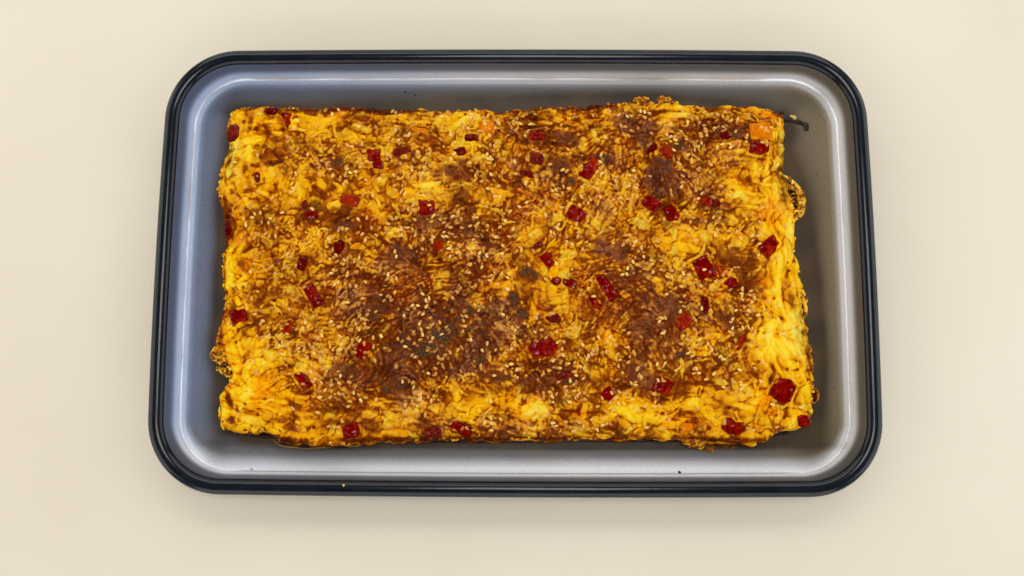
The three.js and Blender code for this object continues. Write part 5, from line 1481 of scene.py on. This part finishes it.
for radius, points in EDGE_SHREDS:
    points = np.array(points, float)
    dress = PALE_DRESS if abs(points[:, 0].mean()) > SHORT_SIDE else BROWN_DRESS
    fresh_share, strand_tone, beads, largest_bead, curls, curl_tones, curl_half, inner_strands, crumbs = dress
    look = (shred_rng.uniform(0.3, 0.5) * strand_tone, shred_rng.uniform(0.25, 0.6) * fresh_share, SHRED_WET, 1)
    add_shred(points, radius * 0.9, look)
    route = curve_points(points, 60)
    for k in shred_rng.integers(3, len(route) - 3, beads):
        look = (shred_rng.uniform(0.2, 0.75), shred_rng.uniform(0.15, 0.8) * fresh_share, SHRED_WET, 1)
        place = route[k] + shred_rng.normal(0, 0.3, 3) * [1, 1, 0.6]
        add_lump(place, radius * shred_rng.uniform(0.6, largest_bead), look)
    for _ in range(curls):
        k, share = shred_rng.integers(8, len(route) - 8), shred_rng.uniform(0.1, 0.8)
        look = (shred_rng.uniform(*curl_tones), shred_rng.uniform(0.1, 0.6) * fresh_share, SHRED_WET, 1)
        place = route[k] * (1 - share) + route.mean(0) * share + [0, 0, 0.4]
        add_curl(place, shred_rng.uniform(1.1, 2.6), curl_half, look)
    for _ in range(16):
        share = shred_rng.uniform(0.2, 1)
        here = route[shred_rng.integers(3, len(route) - 3)] * (1 - share) + route.mean(0) * share
        add_lump(here - [0, 0, 2.0], shred_rng.uniform(1.2, 2.0), (0.95, 0.7, 0.4, 1))
    inner = points + (points.mean(0) - points) * [[0.35, 0.35, 0]]
    for _ in range(inner_strands):
        jitter = shred_rng.normal(0, 1.1, points.shape) - [0, 0, 0.8]
        look = (shred_rng.uniform(0.1, 0.75), shred_rng.uniform() * fresh_share, SHRED_WET, 1)
        add_shred(inner + jitter, radius * shred_rng.uniform(0.5, 0.9), look)
    for _ in range(crumbs):
        share = shred_rng.uniform()
        here = points[shred_rng.integers(1, len(points))] * (1 - share) + points.mean(0) * share
        here = here + shred_rng.normal(0, 0.9, 3) - [0, 0, 0.9]
        size = shred_rng.uniform(0.7, 1.7)
        add_lump(here, size, (shred_rng.uniform(0.1, 0.8), shred_rng.uniform() * fresh_share, SHRED_WET, 1))
angles = np.linspace(0, TAU, 41)
ring_x, ring_y = RING_SHRED["x"], RING_SHRED["y"]
half_ring = RING_SHRED["width"] / 2 - RING_SHRED["radius"]
half_ring_length = half_ring * RING_SHRED["length"] / RING_SHRED["width"]
ring_path = np.column_stack([
    ring_x + half_ring * np.cos(angles),
    ring_y + half_ring_length * np.sin(angles),
    RING_SHRED["z"] + 0.3 * np.sin(3 * angles),
])
placed, quads, caps = tube(ring_path, 0.62 + 0.2 * np.sin(2 * angles + 1), 8)
shreds.add(placed, quads, caps, (0.5, 0.15, 0.9, 1))
skin, skin_quads, skin_tris = ball(20, 8)
skin = skin[:, [1, 2, 0]] * [half_ring, half_ring_length, 0.35]
shreds.add(skin + [ring_x, ring_y, RING_SHRED["z"] - 0.3], skin_quads, skin_tris, (0.9, 0.6, 0.9, 1))

inner_x, inner_y = edge_points[:, 0] - INNER_STEP * rim_out[:, 0], edge_points[:, 1] - INNER_STEP * rim_out[:, 1]
inner_tone = sample(tone, inner_x, inner_y)
rim_x, rim_y = rim.T
right_froth = 0.3 + smooth_step(30, 62, rim_y) + smooth_step(-60, -48, rim_y) * smooth_step(-14, -26, rim_y)
froth = np.clip(
    smooth_step(150, 162, rim_x) * right_froth + smooth_step(104, 114, rim_x) * smooth_step(90, 94, rim_y)
    + 0.6 * smooth_step(-164, -168, rim_x) * smooth_step(40, 52, rim_y),
    0, 1,
)
for _ in range(EDGE_STRANDS):
    k = int(shred_rng.integers(0, count))
    here, out, along = rim[k], rim_out[k], rim_along[k]
    top = edge_points[k, 2]
    length = shred_rng.uniform(3, 12)
    reach = shred_rng.uniform(-0.2, 1.1)
    z = shred_rng.uniform(4, top + 1.0)
    slope = shred_rng.normal(0, 1.2)
    t = np.linspace(-0.5, 0.5, 5)
    path = np.column_stack([
        here[None] + along[None] * (t * length)[:, None] + out[None] * (reach * (1 - 5 * t * t) - 0.6)[:, None],
        z + slope * t * 2,
    ])
    look = (float(np.clip(inner_tone[k] + shred_rng.normal(0, 0.12), 0.05, 0.95)), 0.7 - 0.7 * froth[k], SHRED_WET, 1)
    add_shred(path, shred_rng.uniform(0.45, 1.0), look, 12, 6)
for _ in range(EDGE_CRUMBS):
    k = int(shred_rng.integers(0, count))
    frothy = froth[k]
    out = shred_rng.uniform(-2.2, 0.25 + 0.4 * frothy)
    z = edge_points[k, 2] - shred_rng.uniform(-1.0, 4) * (1 + 0.8 * max(out, 0))
    size = shred_rng.uniform(0.5, 1.25) * (1 - 0.25 * frothy)
    tone_here = float(np.clip(inner_tone[k] + shred_rng.normal(0, 0.14), 0.02, 0.95))
    look = (tone_here, shred_rng.uniform() * (1 - frothy), SHRED_WET, 1)
    add_lump([*(rim[k] + rim_out[k] * out), max(z, 2.5)], size, look)
for _ in range(EDGE_CURLS):
    k = int(shred_rng.integers(0, count))
    if shred_rng.uniform() > 0.25 + 0.75 * froth[k]:
        continue
    place = [*(rim[k] + rim_out[k] * shred_rng.uniform(-1.6, 0.1)), edge_points[k, 2] + shred_rng.uniform(-2.0, 0.6)]
    look = (float(np.clip(inner_tone[k] + shred_rng.normal(0, 0.14), 0.05, 0.9)), 0.6 - 0.5 * froth[k], SHRED_WET, 1)
    add_curl(np.array(place), shred_rng.uniform(0.8, 1.7), 0.38, look)
edge_strands = shreds.build("edge_shreds")


def shred_material():
    m = Nodes("baked_shred")
    toned, hued, wetted, _ = m.values("look")
    fine = m.noise(1.4, 4, 0.6)
    browned = m.span(m.noise(3.2, 3, 0.6), 0.5, 0.66, 0.0, 0.42)
    value = m.math("ADD", m.math("ADD", toned, browned), m.math("MULTIPLY_ADD", fine, 0.4, -0.2))
    light = m.mix(0.45, m.ramp(value, PALE_RAMP), m.ramp(value, ORANGE_RAMP))
    colour = m.mix(m.span(hued, 0.2, 0.45), light, m.ramp(value, YELLOW_RAMP))
    m.feed(Base_Color=m.mix(m.span(hued, 0.6, 1.0), colour, m.ramp(value, ORANGE_RAMP)))
    m.feed(Roughness=m.math("MULTIPLY_ADD", fine, 0.25, 0.2))
    m.feed(Coat_Weight=m.span(wetted, 0, 1, 0.0, 0.3))
    m.set(Coat_Roughness=0.1, Specular_IOR_Level=0.04)
    m.feed(Normal=m.bump(m.noise(0.8, 3, 0.6), 0.4, 0.3))
    return m.material


edge_strands.data.materials.append(shred_material())
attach(edge_strands, "root")


# Drips, crumbs and worn specks on the tin
drips = Heap()
BURNT, AMBER, STRAW = 0.95, 0.6, 0.08


def tin_height(x, y):
    """Height of the tin's inner face near its foot."""
    inset = min(TIN_LENGTH / 2 - abs(x), TIN_WIDTH / 2 - abs(y))
    side = min(max(foot_inset - inset, 0), FOOT_RADIUS)
    return foot_height - math.sqrt(FOOT_RADIUS**2 - side**2)


def drip(points, radius, value, flat=0.45):
    """A flattened run of egg or fat on the tin's floor."""
    path = curve_points(points, 26)
    t = np.linspace(0, 1, len(path))
    radii = radius * np.clip(1 - np.abs(2 * t - 1) ** 6, 0.2, 1) * (1 + 0.16 * np.sin(15 * t + points[0][0]))
    placed, quads, caps = tube(path, radii, 10)
    placed[:, 2] = FLOOR_TOP + (placed[:, 2] - FLOOR_TOP) * flat
    drips.add(placed, quads, caps, (value, 0.6, 0.5, 1))


drip([(161, 93.6, 2.4), (168, 94.2, 1.9), (174, 93.3, 1.8), (178, 91.4, 2), (179.2, 88.6, 2.2)], 1.25, BURNT)
drip([(177.4, 92.6, 1.8), (179.6, 90.6, 2.2), (179.4, 87.2, 1.8)], 1.5, BURNT)
add_lump([172.4, 95.9, FLOOR_TOP + 0.8], 1.5, (STRAW, 0.2, 0.5, 1), drips, 0.6)
add_lump([170.6, 96.6, FLOOR_TOP + 0.6], 1.0, (STRAW, 0.2, 0.5, 1), drips, 0.6)
add_lump([164.2, 81, FLOOR_TOP + 0.8], 1.0, (BURNT, 0.2, 0.5, 1), drips)
add_lump([163.5, 97.4, 6], 1.5, (BURNT, 0.2, 0.5, 1), drips)
# Egg that ran out and browned, by its points along the tin's floor
for points, radius, value in (
    (
        [
            (-143, -100.5, 1.6), (-139.5, -104.4, 1.5), (-127, -106.2, 1.5), (-109, -105.8, 1.5), (-96, -105.2, 1.5),
            (-84, -103.4, 1.5),
        ], 0.42, 0.3,
    ),
    ([(-141, -101, 1.6), (-126, -103.8, 1.5), (-106, -103.8, 1.5), (-86, -102.6, 1.6)], 2.3, 0.84),
    ([(-158, -98.6, 1.5), (-150, -99.6, 1.5), (-140, -100.4, 1.6)], 1.2, 0.85),
    ([(140, -98.4, 1.5), (150, -97.6, 1.5), (158, -96.2, 1.5), (164, -95.4, 1.5)], 1.6, 0.97),
    ([(-80, -103, 1.5), (-40, -102.6, 1.4), (0, -102, 1.4), (60, -101.4, 1.4), (104, -101.6, 1.5)], 0.7, 0.9),
):
    drip(points, radius, value)
for x, y, size, value in (
    (109, -102.4, 2.2, 0.7), (112, -104.6, 2.4, 0.62), (115, -106, 2.2, 0.5), (116.8, -107.4, 1.5, 0.4),
    (117.6, -104.6, 1.8, 0.66), (121, -103.6, 2.0, 0.72), (125, -103.6, 1.8, 0.6), (128.6, -105, 1.2, 0.5),
    (107, -101.4, 2.0, 0.8), (123.4, -102.4, 1.6, 0.8), (108.4, -104.2, 0.8, 0.2), (-136.6, -101.8, 1.1, 0.15),
    (-131, -101, 2.2, 0.9), (-126, -101.8, 1.8, 0.95), (-96, -102.6, 1.5, 0.4), (147, -98, 0.9, 0.98),
    (152, -97.4, 0.8, 0.98),
):
    add_lump([x, y, FLOOR_TOP + 0.45 * size], size, (value, 0.6, 0.5, 1), drips, 0.55)
for x, y, size in (
    (-180.7, -114.7, 0.9), (-180.2, -115.6, 0.6), (-179.4, -117.6, 0.7), (-154.5, -118.7, 0.6), (96.9, -119.4, 0.9),
    (-68.7, 112.1, 0.6), (-65.5, 111.4, 0.5), (-62.4, 110.2, 0.5), (185, 60, 0.4), (190, -70, 0.4), (-190, 40, 0.35),
):
    add_lump([x, y, tin_height(x, y) + 0.12], size, (BURNT, 0.6, 0.2, 1), drips, 0.3)
add_lump([-95.9, -125.6, 21.7], 0.9, (STRAW, 0.2, 0.4, 1), drips, 0.6)
add_lump([201.0, 47.8, 12.0], 0.5, (STRAW, 0.2, 0.4, 1), drips)
pan_drips = drips.build("pan_drips_and_crumbs")


def drip_material():
    m = Nodes("baked_on_drips")
    toned, _, wetted, _ = m.values("look")
    value = m.math("ADD", toned, m.math("MULTIPLY_ADD", m.noise(1.2, 4, 0.6), 0.24, -0.12))
    colour = m.ramp(value, [
        (0.0, srgb(244, 222, 140)), (0.2, srgb(220, 176, 84)), (0.45, srgb(176, 110, 36)), (0.65, srgb(112, 56, 14)),
        (0.8, srgb(62, 36, 18)), (1.0, srgb(30, 22, 14)),
    ])
    m.feed(Base_Color=colour)
    m.feed(Roughness=m.math("MULTIPLY_ADD", m.noise(2, 3, 0.6), 0.3, 0.15))
    m.feed(Coat_Weight=m.span(wetted, 0, 1, 0.0, 0.6))
    m.set(Coat_Roughness=0.1, Specular_IOR_Level=0.2)
    m.feed(Normal=m.bump(m.noise(0.9, 3, 0.6), 0.3, 0.3))
    return m.material


pan_drips.data.materials.append(drip_material())
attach(pan_drips, "root")


# Floor, lights and camera
FLOOR_HALF = 1500
LENS, SENSOR_WIDTH = 29.88, 36
CAMERA_PLACE, CAMERA_TURN = (0.0021, -0.0747, 0.5105), (7.16, 0.39, 0.20)
WORLD_COLOUR, WORLD_STRENGTH = (0.95, 0.97, 1.0, 1), 0.07
floor_corners = np.array([(sx * FLOOR_HALF, sy * FLOOR_HALF, 0) for sx, sy in ((-1, -1), (1, -1), (1, 1), (-1, 1))])
floor = make_mesh("floor", floor_corners, [[(0, 1, 2, 3)]], False)
m = Nodes("pale_floor")
pale_shades = [(0.3, srgb(232, 220, 198)), (0.7, srgb(240, 229, 209))]
m.feed(Base_Color=m.ramp(m.noise(220, 3, 0.5), pale_shades))
m.set(Roughness=0.7)
floor.data.materials.append(m.material)


def area_light(name, place, size, power, colour):
    data = bpy.data.lights.new(name, "AREA")
    data.shape = "RECTANGLE"
    data.size, data.size_y = size
    data.energy = power
    data.color = colour
    made = bpy.data.objects.new(name, data)
    made.location = place
    made.rotation_euler = (-Vector(place)).to_track_quat("-Z", "Y").to_euler()
    bpy.context.scene.collection.objects.link(made)


WARM, SOFT_WARM, COOL, NEUTRAL = (1.0, 0.98, 0.94), (1.0, 0.99, 0.97), (0.92, 0.96, 1.0), (0.98, 0.99, 1.0)
for light in (
    ("top_softbox", (0.05, 0.12, 1.5), (0.5, 0.5), 5.5, WARM),
    ("far_strip", (0, 1.0, 1.1), (2.0, 0.3), 6, SOFT_WARM),
    ("right_panel", (1.2, 0.0, 0.5), (1.7, 0.95), 9, COOL),
    ("left_panel", (-1.2, 0.0, 0.5), (1.7, 0.95), 8, WARM),
    ("near_panel", (0, -1.2, 0.5), (2.0, 0.95), 10, NEUTRAL),
    ("far_panel", (0, 1.2, 0.5), (2.0, 0.95), 7, SOFT_WARM),
):
    area_light(*light)

world = bpy.data.worlds.new("studio")
bpy.context.scene.world = world
world.use_nodes = True
world.node_tree.nodes["Background"].inputs["Color"].default_value = WORLD_COLOUR
world.node_tree.nodes["Background"].inputs["Strength"].default_value = WORLD_STRENGTH

camera_data = bpy.data.cameras.new("camera")
camera_data.lens = LENS
camera_data.sensor_width = SENSOR_WIDTH
camera = bpy.data.objects.new("camera", camera_data)
camera.location = CAMERA_PLACE
camera.rotation_euler = [math.radians(angle) for angle in CAMERA_TURN]
bpy.context.scene.collection.objects.link(camera)
bpy.context.scene.camera = camera

view_settings = bpy.context.scene.view_settings
view_settings.view_transform = "Standard"
view_settings.look = "None"
view_settings.exposure = 0.0
